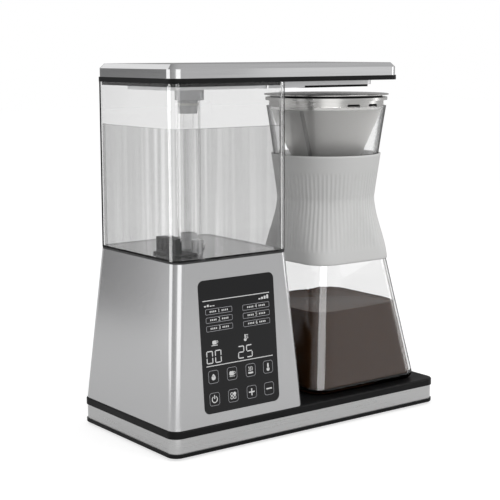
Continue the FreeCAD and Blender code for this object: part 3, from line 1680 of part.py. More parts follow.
pieces = {
    "base_pan": make_base_pan,
    "base_band": make_base_band,
    "base_deck": make_base_deck,
    "rubber_feet": make_rubber_feet,
    "base_screws": make_base_screws,
    "warming_plate": make_warming_plate,
    "plate_heater": make_plate_heater,
    "plate_clamp": make_plate_clamp,
    "plate_sensor": make_plate_sensor,
    "housing_shell": make_housing_shell,
    "housing_screws": make_housing_screws,
    "housing_tray": make_housing_tray,
    "panel_glass": make_panel_glass,
    "panel_frame": make_panel_frame,
    "touch_board": make_touch_board,
    "display_module": make_display_module,
    "small_screws": make_small_screws,
    "power_board": make_power_board,
    "transformer": make_transformer,
    "heater_relay": make_heater_relay,
    "terminal_block": make_terminal_block,
    "cord_gland": make_cord_gland,
    "tank_seal": make_tank_seal,
    "water_tank": make_water_tank,
    "intake_strainer": make_intake_strainer,
    "tank_nuts": make_tank_nuts,
    "float_cage": make_float_cage,
    "level_float": make_level_float,
    "riser_base": make_riser_base,
    "riser_tube": make_riser_tube,
    "riser_sheath": make_riser_sheath,
    "pump_housing": make_pump_housing,
    "pump_motor": make_pump_motor,
    "pump_rotor": make_pump_rotor,
    "pump_stand": make_pump_stand,
    "heater_body": make_heater_body,
    "heating_element": make_heating_element,
    "heater_bracket": make_heater_bracket,
    "bracket_screws": make_bracket_screws,
    "thermal_cutoffs": make_thermal_cutoffs,
    "hose_clamps": make_hose_clamps,
    "lid_base": make_lid_base,
    "lid_cover": make_lid_cover,
    "duct_tray": make_duct_tray,
    "duct_gasket": make_duct_gasket,
    "lid_screws": make_lid_screws,
    "coupling_block": make_coupling_block,
    "coupling_cone": make_coupling_cone,
    "coupling_ring": make_coupling_ring,
    "shower_plate": make_shower_plate,
    "carafe_glass": make_carafe_glass,
    "carafe_sleeve": make_carafe_sleeve,
    "filter_collar": make_filter_collar,
    "filter_mesh": make_filter_mesh,
    "filter_tip": make_filter_tip,
    "filter_seal": make_filter_seal,
    "filter_lid": make_filter_lid,
}

for hose_name in hose_ends():
    pieces[hose_name] = lambda name=hose_name: make_hose(name)

os.makedirs("parts", exist_ok=True)
for node, make in pieces.items():
    shape = make()
    shape.exportStep("parts/%s.step" % node)
    box = shape.BoundBox
    print("%-16s solids %2d volume %10.1f valid %s  x %.1f %.1f  y %.1f %.1f  z %.1f %.1f" % (
        node, len(shape.Solids), shape.Volume, shape.isValid(), box.XMin, box.XMax, box.YMin, box.YMax,
        box.ZMin, box.ZMax))
print("nodes: %d" % len(pieces))
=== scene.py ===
"""Looks of the coffee and tea maker, built around its packed construction.

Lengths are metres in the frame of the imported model: +X runs along the front from the tank to the carafe,
-Y faces the user and +Z is up. Sizes are written in millimetres and multiplied by MM, but the panel's prints
are drawn in millimetres and the studio in metres.
"""
import logging
import math
from contextlib import contextmanager
from dataclasses import dataclass
from enum import Enum
from functools import partial
from typing import Callable, ClassVar, Iterator

import bmesh
import bpy
from bpy.types import Material, Node, NodeSocket, NodeTree, Object, World
from mathutils import Matrix, Vector


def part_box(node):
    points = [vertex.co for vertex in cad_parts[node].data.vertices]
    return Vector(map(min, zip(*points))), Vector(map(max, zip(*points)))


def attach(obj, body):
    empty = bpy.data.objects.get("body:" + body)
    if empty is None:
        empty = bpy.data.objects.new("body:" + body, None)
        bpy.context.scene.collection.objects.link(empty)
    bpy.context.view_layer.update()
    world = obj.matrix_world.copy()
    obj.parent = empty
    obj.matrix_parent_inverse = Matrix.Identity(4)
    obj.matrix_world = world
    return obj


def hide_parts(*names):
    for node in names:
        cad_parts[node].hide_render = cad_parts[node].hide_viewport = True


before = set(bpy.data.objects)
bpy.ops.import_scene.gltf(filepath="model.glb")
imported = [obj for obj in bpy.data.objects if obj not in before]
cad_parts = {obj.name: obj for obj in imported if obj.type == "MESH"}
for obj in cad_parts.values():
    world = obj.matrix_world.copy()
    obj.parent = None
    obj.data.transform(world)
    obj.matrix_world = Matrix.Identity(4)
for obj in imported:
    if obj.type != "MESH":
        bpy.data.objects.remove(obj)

MM = 0.001
LOG = logging.getLogger("maker")
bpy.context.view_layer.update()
# Least upward part of the normal of a face that counts as a top
UPWARD = 0.9


def linear(hex_colour: str) -> tuple[float, float, float, float]:
    """Turn an sRGB hex colour into linear red, green and blue, with an alpha of one."""
    channels = [int(hex_colour[i:i + 2], 16) / 255 for i in (0, 2, 4)]
    return tuple(c / 12.92 if c <= 0.04045 else ((c + 0.055) / 1.055) ** 2.4 for c in channels) + (1.0,)


Pair = tuple[float, float]
Triple = tuple[float, float, float]
Add = Callable[..., Node]
WHITE = linear("FFFFFF")
# Settings of a node that eases in and out between its ends
EASED = {"interpolation_type": "SMOOTHSTEP"}


def add_node(tree: NodeTree, kind: str, inputs: dict | list | None = None, **settings: object) -> Node:
    """Add a shader node with its settings and links.

    Args:
        tree: The node tree that takes the node.
        kind: Blender's name of the node type, without the ShaderNode that it begins with.
        inputs: A value, a socket, or a node whose first output is linked, for each input: by its name or number,
            or as a list from the first input on.
        settings: Properties to set on the node.

    Returns:
        The new node.
    """
    node = tree.nodes.new("ShaderNode" + kind)
    for name, value in settings.items():
        setattr(node, name, value)
    for name, value in inputs.items() if isinstance(inputs, dict) else enumerate(inputs or ()):
        if isinstance(value, Node):
            value = next(socket for socket in value.outputs if socket.enabled)
        if isinstance(value, NodeSocket):
            tree.links.new(value, node.inputs[name])
        else:
            node.inputs[name].default_value = value
    return node


def node_adder(owner: Material | World) -> Add:
    """Empty a new material or world of its nodes.

    Args:
        owner: The material or world.

    Returns:
        The function add_node with its node tree filled in.
    """
    owner.use_nodes = True
    owner.node_tree.nodes.clear()
    return partial(add_node, owner.node_tree)


def seen_directly(add: Add) -> Node:
    """Tell whether a ray comes from the camera, straight or through glass."""
    path = add("LightPath").outputs
    return add("Math", [path["Is Camera Ray"], path["Is Transmission Ray"]], operation="MAXIMUM")


class Grain(Enum):
    """Direction in which a metal was brushed, as pattern scales along X, Y and Z."""

    ALONG_SIDES = (0.02, 0.02, 1.0)
    UPRIGHT = (1.0, 1.0, 0.02)
    EVEN = (1.0, 1.0, 1.0)


@dataclass(frozen=True)
class Finish:
    """The base of all finishes: its name, its even values, and the making of its material."""

    name: str
    colour: str
    roughness: float = 0.5
    metallic: float = 0.0
    ior: float = 1.5
    specular: float = 0.5

    def material(self) -> Material:
        """Make the finish's material the first time it is asked for.

        Returns:
            The material.
        """
        made = bpy.data.materials.get(self.name)
        if not made:
            made = bpy.data.materials.new(self.name)
            add = node_adder(made)
            add("OutputMaterial", {"Surface": self.surface(add)})
        return made

    def surface(self, add: Add) -> Node:
        """Add the nodes of the surface, and return its last shader."""
        return self.body(add, {})

    def body(self, add: Add, varied: dict[str, Node]) -> Node:
        """Add the main shader, with the finish's even values where no pattern varies them."""
        return add("BsdfPrincipled", {
            "Base Color": linear(self.colour), "Roughness": self.roughness, "Metallic": self.metallic,
            "IOR": self.ior, "Specular IOR Level": self.specular, **varied})

    def place(self, add: Add, scale: Triple = (1.0, 1.0, 1.0)) -> Node:
        """Return the object's own coordinates, scaled along each axis."""
        return add("Mapping", {"Vector": add("TexCoord").outputs["Object"], "Scale": scale})


@dataclass(frozen=True)
class MouldedFinish(Finish):
    """Moulded plastic, rubber or silicone: a fine spark-eroded grain with uneven gloss."""

    grain: float = 1.4
    depth: float = 0.03
    unevenness: float = 0.06
    grains_per_cloud: ClassVar[float] = 18.0
    cloud_edge: ClassVar[Pair] = (0.3, 0.7)

    def surface(self, add: Add) -> Node:
        """Break up the gloss and the surface with the mould's grain.

        Args:
            add: Adds a node to the material.

        Returns:
            The main shader.
        """
        place = self.place(add)
        cloud_size = self.grains_per_cloud * self.grain * MM
        cloud = add("TexNoise", {"Vector": place, "Scale": 1 / cloud_size, "Detail": 3.0})
        pits = add("TexNoise", {"Vector": place, "Scale": 1 / (self.grain * MM), "Detail": 2.0})
        gloss = (self.roughness - self.unevenness, self.roughness + self.unevenness)
        return self.body(add, {
            "Roughness": add("MapRange", [cloud, *self.cloud_edge, *gloss]),
            "Normal": add("Bump", {"Height": pits, "Strength": 0.5, "Distance": self.depth * MM})})


@dataclass(frozen=True)
class MetalFinish(Finish):
    """Brushed, satin or polished metal: streaks in its gloss and shade along the brushing."""

    metallic: float = 1.0
    grain: Grain = Grain.EVEN
    streak: float = 1.2
    streak_gloss: float = 0.06
    streak_shade: float = 0.05
    depth: float = 0.01
    streak_edge: ClassVar[Pair] = (0.25, 0.75)

    def surface(self, add: Add) -> Node:
        """Lay streaks over the even metal.

        Args:
            add: Adds a node to the material.

        Returns:
            The main shader.
        """
        streaks = add("TexNoise", {"Vector": self.place(add, self.grain.value), "Scale": 1 / (self.streak * MM),
                                   "Detail": 4.0, "Roughness": 0.6})
        gloss = (self.roughness - self.streak_gloss, self.roughness + self.streak_gloss)
        shade = add("MapRange", [streaks, *self.streak_edge, 1 - self.streak_shade, 1.0])
        return self.body(add, {
            "Roughness": add("MapRange", [streaks, *self.streak_edge, *gloss]),
            "Base Color": add("VectorMath", {0: linear(self.colour)[:3], "Scale": shade}, operation="SCALE"),
            "Normal": add("Bump", {"Height": streaks, "Strength": 0.4, "Distance": self.depth * MM})})


@dataclass(frozen=True)
class CellFinish(Finish):
    """Sheet with a fine pattern of cells in another colour: etched holes or copper tracks."""

    cell_colour: str = "8A8A88"
    pitch: float = 0.7
    stretch: Triple = (1.0, 1.0, 1.0)
    feature: str = "F1"
    cell_edge: Pair = (0.18, 0.42)
    randomness: float = 0.15
    depth: float = 0.05

    def surface(self, add: Add) -> Node:
        """Mix the cells into the even colour and sink them.

        Args:
            add: Adds a node to the material.

        Returns:
            The main shader.
        """
        cells = add("TexVoronoi", {"Vector": self.place(add, self.stretch), "Scale": 1 / (self.pitch * MM),
                                   "Randomness": self.randomness}, feature=self.feature)
        between = add("MapRange", [cells, *self.cell_edge])
        colours = {6: linear(self.cell_colour), 7: linear(self.colour)}
        return self.body(add, {
            "Base Color": add("Mix", {0: between, **colours}, data_type="RGBA"),
            "Normal": add("Bump", {"Height": between, "Strength": 0.25, "Distance": self.depth * MM})})


@dataclass(frozen=True)
class LiquidFinish(Finish):
    """Dark liquid behind glass: no gloss against the wall, a soft one on its open top."""

    most_mirrored: float = 0.1
    mirrored_edge: Pair = (0.6, 0.92)

    def surface(self, add: Add) -> Node:
        """Mix a little gloss into the even colour, more of it where the surface is seen at a low angle.

        Args:
            add: Adds a node to the material.

        Returns:
            The mixed shader.
        """
        facing = add("LayerWeight", {"Blend": 0.5}).outputs["Facing"]
        return add("MixShader", [
            add("MapRange", [facing, *self.mirrored_edge, 0.0, self.most_mirrored]), self.body(add, {}),
            add("BsdfGlossy", {"Color": WHITE, "Roughness": self.roughness})])


@dataclass(frozen=True)
class ClearFinish(Finish):
    """A clear thin wall: what is behind shows undisplaced, darker where the wall is seen along its length, partly from
    the wall's own tint and partly as painted shade that stands in for its bent and mirrored edges.

    A wall may have painted upright streaks of light, which stand in for what a rounded corner mirrors and bends, and
    fade away from one upright line.
    """

    edge_colour: str = "8C8C8C"
    edge_from: float = 0.55
    most_mirrored: float = 0.7
    streak: float = 0.0
    painted_streak_colour: str = "FFFFFF"
    painted_streak_centre: Triple = (0.0, 0.0, 0.0)
    painted_streak_reach: Pair = (0.0, 1.0)
    painted_streak_far: ClassVar[float] = 0.25
    streak_edge: ClassVar[Pair] = (0.38, 0.66)

    def surface(self, add: Add) -> Node:
        """Mix a clear shader, tinted towards its edges, with the wall's gloss.

        Args:
            add: Adds a node to the material.

        Returns:
            The mixed shader.
        """
        facing = add("LayerWeight", {"Blend": 0.5}).outputs["Facing"]
        # Painted shade in part: the tint turns to the edge colour where the wall is seen at a low angle
        edge = add("MapRange", [facing, self.edge_from, 1.0], **EASED)
        tint = add("Mix", {0: edge, 6: linear(self.colour), 7: linear(self.edge_colour)}, data_type="RGBA")
        if self.streak:
            # Painted light: bright upright streaks, strongest near one upright line
            rays = add("TexNoise", {"Vector": self.place(add, Grain.UPRIGHT.value),
                                    "Scale": 1 / (self.streak * MM), "Detail": 1.0})
            away = add("VectorMath", [self.place(add, (1.0, 1.0, 0.0)), self.painted_streak_centre], operation="DISTANCE")
            near = add("MapRange", [away, *self.painted_streak_reach, 1.0, self.painted_streak_far], **EASED)
            share = add("Math", [add("MapRange", [rays, *self.streak_edge]), near], operation="MULTIPLY")
            tint = add("Mix", {0: share, 6: tint, 7: linear(self.painted_streak_colour)}, data_type="RGBA")
        # Both faces of a thin wall mirror alike, so the share that is mirrored comes from the angle alone
        head_on = ((self.ior - 1) / (self.ior + 1)) ** 2
        steep = add("Math", [facing, 5.0], operation="POWER")
        return add("MixShader", [
            add("MapRange", [steep, 0.0, 1.0, head_on, self.most_mirrored]),
            add("BsdfTransparent", {"Color": tint}),
            add("BsdfGlossy", {"Color": WHITE, "Roughness": self.roughness})])


@dataclass(frozen=True)
class GlassFinish(Finish):
    """Solid clear glass or plastic that bends what is seen through its corners and lets lamp light pass.

    Its upright edges get a painted dark outline, painted shade that stands in for dark surroundings seen in them, made
    fainter to the right as painted light, and its foot may have a painted colour.
    """

    edge_colour: str = "343434"
    edge_from: float = 0.42
    edge_to: float = 0.64
    right_painted_outline: float = 1.0
    right_turn: ClassVar[Pair] = (0.05, 0.35)
    painted_foot_colour: str = "FFFFFF"
    foot_level: Pair = (-2.0, -1.0)

    def surface(self, add: Add) -> Node:
        """Use a glass shader, with a clear one for rays from the lamps so that they reach what is behind.

        Args:
            add: Adds a node to the material.

        Returns:
            The mixed shader.
        """
        facing = add("LayerWeight", {"Blend": 0.5}).outputs["Facing"]
        # Painted shade: a dark outline where the glass is seen at a low angle
        edge = add("MapRange", [facing, self.edge_from, self.edge_to], **EASED)
        # Floors and rims stay clear, so that only upright edges get the painted outline
        normal = add("SeparateXYZ", [add("NewGeometry").outputs["Normal"]]).outputs
        lying = add("Math", [normal["Z"]], operation="ABSOLUTE")
        upright = add("Math", [1.0, lying], operation="SUBTRACT", use_clamp=True)
        # Painted light: the side that faces the carafe picks up its light, so the painted outline there is made
        # fainter
        right = add("MapRange", [normal["X"], *self.right_turn, 1.0, self.right_painted_outline])
        drawn = add("Math", [upright, right], operation="MULTIPLY")
        share = add("Math", [edge, drawn], operation="MULTIPLY")
        tint = add("Mix", {0: share, 6: linear(self.colour), 7: linear(self.edge_colour)}, data_type="RGBA")
        # Painted reflection: a thick foot takes a painted colour that stands in for what stands in it, seen mirrored
        # and bent in the glass
        level = add("SeparateXYZ", [self.place(add)]).outputs["Z"]
        above = add("MapRange", [level, *self.foot_level], **EASED)
        tint = add("Mix", {0: above, 6: linear(self.painted_foot_colour), 7: tint}, data_type="RGBA")
        return add("MixShader", [
            add("LightPath").outputs["Is Shadow Ray"],
            add("BsdfGlass", {"Color": tint, "Roughness": self.roughness, "IOR": self.ior}),
            add("BsdfTransparent", {"Color": linear(self.colour)})])


# Silver lacquered sheet: an even satin grey whose rounded corners still mirror the softboxes as bright stripes
SATIN_SILVER = MetalFinish("satin_silver_sheet", "CFCFD0", 0.19, streak=1.6, streak_gloss=0.03, streak_shade=0.03,
                           depth=0.004)
# Brushed aluminium lid: long horizontal streaks from the brushing belt
BRUSHED_LID = MetalFinish("brushed_aluminium_lid", "D6D6D7", 0.13, grain=Grain.ALONG_SIDES, streak=2.2,
                          streak_gloss=0.03, streak_shade=0.1, depth=0.003)
# Brushed stainless band: flat cold grey with streaks along its length
BRUSHED_BAND = MetalFinish("brushed_stainless_band", "D2D2D2", 0.3, grain=Grain.ALONG_SIDES, streak=1.0,
                           streak_gloss=0.05, streak_shade=0.07, depth=0.008)
# Rolled stainless steel with a bright finish: mirrors softly, a little warmer than the lacquer
BRIGHT_STEEL = MetalFinish("bright_rolled_stainless", "C9C8C6", 0.26, grain=Grain.ALONG_SIDES, streak=1.0,
                           streak_gloss=0.03, streak_shade=0.04, depth=0.002)
# Photo-etched stainless cone: the holes make it read as an even mid grey
ETCHED_STEEL = CellFinish("etched_stainless_cone", "D2D1CF", 0.6, metallic=1.0)
# Welded seam of the cone: heat-dulled, darker than the sheet
WELD_SEAM = MetalFinish("welded_seam_stainless", "A3A2A0", 0.55, grain=Grain.UPRIGHT, streak=1.0, depth=0.002)
# Zinc-plated screws: slightly blotchy, cool and bright
ZINC_PLATE = MetalFinish("zinc_plated_steel", "BFC2C4", 0.32, streak=3.0, streak_gloss=0.08, streak_shade=0.12)
# Extruded aluminium: soft, pale and a little chalky
PLAIN_ALUMINIUM = MetalFinish("extruded_aluminium", "D2D3D4", 0.4, grain=Grain.UPRIGHT, streak=0.9,
                              streak_shade=0.08)
# Turned brass: warm and bright
TURNED_BRASS = MetalFinish("turned_brass", "C9A55C", 0.28, streak=0.8, streak_shade=0.08)
# Cast iron and steel laminations: dark, dull and mottled
CAST_IRON = MetalFinish("cast_iron", "5C5D60", 0.55, streak=2.0, streak_gloss=0.1, streak_shade=0.25, depth=0.03)
# Silver lacquer over moulded ABS: the duct under the lid stays bright in the lid's shade
SILVER_LACQUER = MetalFinish("silver_lacquered_abs", "DCDCDD", 0.34, streak=2.2, streak_gloss=0.04,
                             streak_shade=0.04, depth=0.003)
# Black ABS from a spark-eroded mould: deep grey with a dry, fine sheen
BLACK_ABS = MouldedFinish("black_moulded_abs", "0E0E0F", 0.46, specular=0.17)
# Non-stick coated plate: black, smoother than the deck around it
COATED_PLATE = MouldedFinish("nonstick_coated_plate", "151516", 0.38, specular=0.35, grain=1.1, depth=0.02)
# Grey moulded ABS: satin mid grey for the riser's plug under the lid
GREY_ABS = MouldedFinish("grey_moulded_abs", "C2C2C3", 0.3, grain=1.2, depth=0.01)
# Pale grey moulded fittings on the tank's floor
PALE_ABS = MouldedFinish("pale_moulded_abs", "E0E0E1", 0.35, grain=1.2, depth=0.01)
# Grey moulded tray under the tank, which shows through its clear floor
GREY_TRAY = MouldedFinish("grey_moulded_tray", "A6A6A7", 0.4)
# White nylon: warm white and waxy
WHITE_NYLON = MouldedFinish("white_moulded_nylon", "DAD9D3", 0.42)
# Blue epoxy-filled relay case: glossy moulding
BLUE_CASE = MouldedFinish("blue_relay_case", "1F4F8C", 0.3)
# Black EPDM rubber: dull, with a soft dusty sheen
BLACK_RUBBER = MouldedFinish("black_epdm_rubber", "161616", 0.62, specular=0.2, grain=1.0, depth=0.02)
# Grey silicone lip of the tank's seal, paler than the black trim
GREY_SEAL = MouldedFinish("grey_silicone_seal", "3C3C3D", 0.5, specular=0.3, grain=1.0, depth=0.02)
# Grey platinum silicone sleeve: matt, even and slightly soft looking
SLEEVE_SILICONE = MouldedFinish("warm_grey_silicone", "E0E0DF", 0.5, ior=1.41, grain=1.5, depth=0.012)
# Milky silicone tube and gaskets
MILKY_SILICONE = MouldedFinish("milky_silicone", "D9D9D4", 0.38, ior=1.41, depth=0.01)
# Closed-cell foam float: coarse open grain
FLOAT_FOAM = MouldedFinish("closed_cell_foam", "D88A3A", 0.8, grain=0.9, depth=0.15, unevenness=0.1)
# Back-printed tempered glass: black right through, with a clean gloss
BLACK_GLASS = MouldedFinish("black_tempered_glass", "131315", 0.09, specular=0.36, grain=6.0, depth=0.0006,
                            unevenness=0.02)
# Screen-printed white ink on the glass
WHITE_INK = MouldedFinish("white_screen_ink", "E8E8E8", 0.5, grain=0.8, depth=0.004)
# Thinner grey ink of the key and label frames
GREY_INK = MouldedFinish("grey_screen_ink", "A0A0A4", 0.5, grain=0.8, depth=0.004)
# Clear moulded tank plastic: colourless, with a painted grey outline on its corners and edges that is faint on its
# right side
TANK_PLASTIC = GlassFinish("clear_moulded_copolyester", "F9F9F9", 0.0, ior=1.36, edge_from=0.47, right_painted_outline=0.15)
# Blown borosilicate glass: colourless with painted dark outlines, and a painted coffee brown in its thick foot that
# stands in for the coffee seen mirrored and bent in it
BLOWN_GLASS = GlassFinish("blown_borosilicate", "FBFBFB", 0.0, ior=1.47, edge_from=0.6, edge_to=0.8,
                          painted_foot_colour="7A6456", foot_level=(30.0 * MM, 33.0 * MM))
# Water in the tank: a painted neutral grey that stands in for the surroundings seen in it, with painted bright streaks
# near the front corner
TANK_WATER = ClearFinish("still_water", "D4D4D4", 0.01, ior=1.2, edge_colour="A0A0A0", streak=6.0,
                         painted_streak_colour="F8F8F8", painted_streak_centre=(-0.142, -0.062, 0.0), painted_streak_reach=(0.024, 0.06))
# Water where it lies against the air or a fitting: nothing of it shows
TOUCHING_WATER = ClearFinish("water_against_fittings", "FFFFFF", 0.01, ior=1.0, edge_colour="FFFFFF",
                             most_mirrored=0.0)
# Clear extruded tube in the water: only its outlines show, as painted dark shade that stands in for the tube's bending
# of the light
CLEAR_TUBE = ClearFinish("clear_extruded_tube", "FDFDFD", 0.03, ior=1.3, edge_colour="3E3E3E", edge_from=0.62,
                         most_mirrored=0.35)
# Filter coffee: nearly opaque deep brown with a wet gloss
COFFEE = LiquidFinish("brewed_coffee", "36200F", 0.08, specular=0.0)
# Circuit board: green solder resist with blocks of paler copper tracks
GREEN_BOARD = CellFinish("green_circuit_board", "1F5B33", 0.35, cell_colour="3F8F55", pitch=3.0,
                         stretch=(1.0, 0.2, 1.0), feature="DISTANCE_TO_EDGE", cell_edge=(0.05, 0.09),
                         randomness=0.5, depth=0.0)


def only(*objects: Object) -> None:
    """Leave just these objects selected, the first of them active.

    Args:
        objects: The objects, one or more.
    """
    bpy.ops.object.select_all(action="DESELECT")
    for item in objects:
        item.select_set(True)
    bpy.context.view_layer.objects.active = objects[0]


def bake_place(piece: Object) -> None:
    """Bake the object's place, turn and scale into its mesh."""
    only(piece)
    bpy.ops.object.transform_apply(location=True, rotation=True, scale=True)


def start(name: str, add: Callable, scale: Triple | Vector = (1, 1, 1), **sizes: object) -> Object:
    """Start a piece as a primitive of its own, with its place in its mesh.

    Args:
        name: Name of the piece.
        add: The operator that adds the primitive.
        scale: Its stretch along each axis.
        sizes: What the operator takes.

    Returns:
        The new piece.
    """
    bpy.ops.object.select_all(action="DESELECT")
    add(**sizes)
    piece = bpy.context.active_object
    piece.name = piece.data.name = name
    piece.scale = scale
    bake_place(piece)
    return piece


def add_box(name: str, low: Vector, high: Vector) -> Object:
    """Start a piece as a box between two corners."""
    return start(name, bpy.ops.mesh.primitive_cube_add, high - low, size=1, location=(low + high) / 2)


class Pick(Enum):
    """What is selected in edit mode, by Blender's name for it."""

    FACES = "FACE"
    EDGES = "EDGE"


@contextmanager
def edit(piece: Object, pick: Pick = Pick.FACES,
         test: Callable[[Vector, Vector], bool] = lambda centre, normal: True) -> Iterator[None]:
    """Edit a piece with some of its faces or edges selected, and leave edit mode at the end.

    Args:
        piece: The mesh object.
        pick: Whether faces or edges are selected.
        test: Says of a face's centre and normal, or of an edge's two ends, whether it is selected.
    """
    only(piece)
    bpy.ops.object.mode_set(mode="EDIT")
    bpy.ops.mesh.select_mode(type=pick.value)
    mesh = bmesh.from_edit_mesh(piece.data)
    if pick is Pick.FACES:
        for face in mesh.faces:
            face.select_set(test(face.calc_center_median(), face.normal))
    else:
        for edge in mesh.edges:
            edge.select_set(test(*(end.co.copy() for end in edge.verts)))
    mesh.select_flush_mode()
    bmesh.update_edit_mesh(piece.data)
    yield
    bpy.ops.object.mode_set(mode="OBJECT")


def apply_modifier(piece: Object, kind: str, **settings: object) -> None:
    """Add a modifier to a piece and apply it.

    Args:
        piece: The mesh object.
        kind: Blender's name of the modifier type.
        settings: Properties to set on the modifier.
    """
    modifier = piece.modifiers.new("step", kind)
    for name, value in settings.items():
        setattr(modifier, name, value)
    only(piece)
    bpy.ops.object.modifier_apply(modifier=modifier.name)


def carve(piece: Object, tool: Object) -> None:
    """Cut the tool's shape out of the piece and delete the tool."""
    apply_modifier(piece, "BOOLEAN", operation="DIFFERENCE", solver="EXACT", object=tool)
    bpy.data.objects.remove(tool)


def round_uprights(piece: Object, radius: float, steps: int) -> None:
    """Round the upright edges of a piece that is taller than the radius."""
    with edit(piece, Pick.EDGES, lambda a, b: abs(a.z - b.z) > radius):
        bpy.ops.mesh.bevel(offset=radius, segments=steps, affect="EDGES")


def curve_top(liquid: Object, width: float, rise: float) -> None:
    """Lower the open top of a liquid inside its rim.

    Args:
        liquid: The mesh object.
        width: How far from the wall the liquid starts to climb.
        rise: How high it climbs.
    """
    with edit(liquid, test=lambda centre, normal: normal.z > UPWARD):
        bpy.ops.mesh.inset(thickness=width)
        bpy.ops.transform.translate(value=(0, 0, -rise))


def finish_piece(piece: Object, finish: Finish, body: str, smooth: float = 30.0) -> None:
    """Dress a new piece and let it ride on its body.

    Args:
        piece: The finished mesh object.
        finish: Its finish.
        body: The body that it moves with.
        smooth: The angle in degrees under which neighbouring faces shade as one.
    """
    piece.data.materials.clear()
    piece.data.materials.append(finish.material())
    only(piece)
    bpy.ops.object.shade_smooth_by_angle(angle=math.radians(smooth))
    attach(piece, body)
    LOG.info("%s: %d faces, %s", piece.name, len(piece.data.polygons), finish.name)


class SubAssembly:
    """A group of pieces that are built and dressed together."""

    finishes: ClassVar[dict[Finish, str]] = {}

    def dress(self) -> None:
        """Give each carried-over node its finish."""
        for finish, nodes in self.finishes.items():
            for node in nodes.split():
                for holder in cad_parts[node].material_slots:
                    holder.material = finish.material()
            LOG.info("%s: %s", finish.name, nodes)

    def build(self) -> None:
        """Build the pieces that the construction doesn't hold."""


@dataclass
class Slab(SubAssembly):
    """Base slab with its warming plate."""

    finishes: ClassVar[dict[Finish, str]] = {
        BLACK_ABS: "base_pan base_deck", BRUSHED_BAND: "base_band", BLACK_RUBBER: "rubber_feet",
        ZINC_PLATE: "base_screws", COATED_PLATE: "warming_plate", CAST_IRON: "plate_heater",
        BRIGHT_STEEL: "plate_clamp", TURNED_BRASS: "plate_sensor"}


@dataclass
class Tower(SubAssembly):
    """Tapered tower and what it hides: boards, pump, heater and hoses."""

    finishes: ClassVar[dict[Finish, str]] = {
        SATIN_SILVER: "housing_shell", ZINC_PLATE: "housing_screws small_screws bracket_screws hose_clamps",
        GREY_TRAY: "housing_tray", BLACK_ABS: "panel_frame pump_stand", GREEN_BOARD: "touch_board power_board",
        WHITE_NYLON: "display_module terminal_block pump_housing pump_rotor thermal_cutoffs", CAST_IRON: "transformer",
        BLUE_CASE: "heater_relay", BLACK_RUBBER: "cord_gland", GREY_SEAL: "tank_seal",
        BRIGHT_STEEL: "pump_motor heating_element heater_bracket", PLAIN_ALUMINIUM: "heater_body",
        MILKY_SILICONE: "intake_hose pump_hose riser_hose"}


@dataclass
class Tank(SubAssembly):
    """Clear tank with its water and the fittings on its floor."""

    finishes: ClassVar[dict[Finish, str]] = {
        TANK_PLASTIC: "water_tank", PALE_ABS: "intake_strainer riser_base", BLACK_ABS: "tank_nuts float_cage",
        FLOAT_FOAM: "level_float", CLEAR_TUBE: "riser_tube riser_sheath"}

    wall: float = 3.0 * MM
    corner: float = 9.7 * MM
    floor_top: float = 173.5 * MM
    water_level: float = 287.0 * MM
    film: float = 0.15 * MM
    meniscus: float = 1.6 * MM
    meniscus_rise: float = 0.7 * MM
    fitting_gap: float = 0.15 * MM
    fitting_sides: int = 64
    corner_steps: int = 14

    def build(self) -> None:
        """Fill the tank with water that leaves room for the fittings."""
        outer_low, outer_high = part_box("water_tank")
        inset = self.wall + self.film
        # The tank's right wall is lower at the notch, so the inside is taken from its length and depth
        water = add_box("tank_water",
                        Vector((outer_low.x + inset, outer_low.y + inset, self.floor_top + self.film)),
                        Vector((outer_high.x - inset, outer_high.y - inset, self.water_level)))
        round_uprights(water, self.corner - inset, self.corner_steps)
        curve_top(water, self.meniscus, self.meniscus_rise)
        for node in ("riser_sheath", "intake_strainer", "riser_base"):
            low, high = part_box(node)
            middle = (low + high) / 2
            foot = self.floor_top - self.wall
            top = min(high.z + self.fitting_gap, self.water_level + self.wall)
            carve(water, start("room", bpy.ops.mesh.primitive_cylinder_add, vertices=self.fitting_sides,
                               radius=(high.x - low.x) / 2 + self.fitting_gap, depth=top - foot,
                               location=(middle.x, middle.y, (foot + top) / 2)))
        low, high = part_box("float_cage")
        gap = Vector((self.fitting_gap,) * 3)
        carve(water, add_box("room", low - gap, high + gap))
        finish_piece(water, TANK_WATER, "machine")
        water.data.materials.append(TOUCHING_WATER.material())
        for face in water.data.polygons:
            # The front and left walls of the water carry its whole painted grey tint, so that its far edge doesn't
            # show twice
            inside = face.center.x > outer_low.x + self.corner and face.center.y > outer_low.y + self.corner
            face.material_index = int(inside)


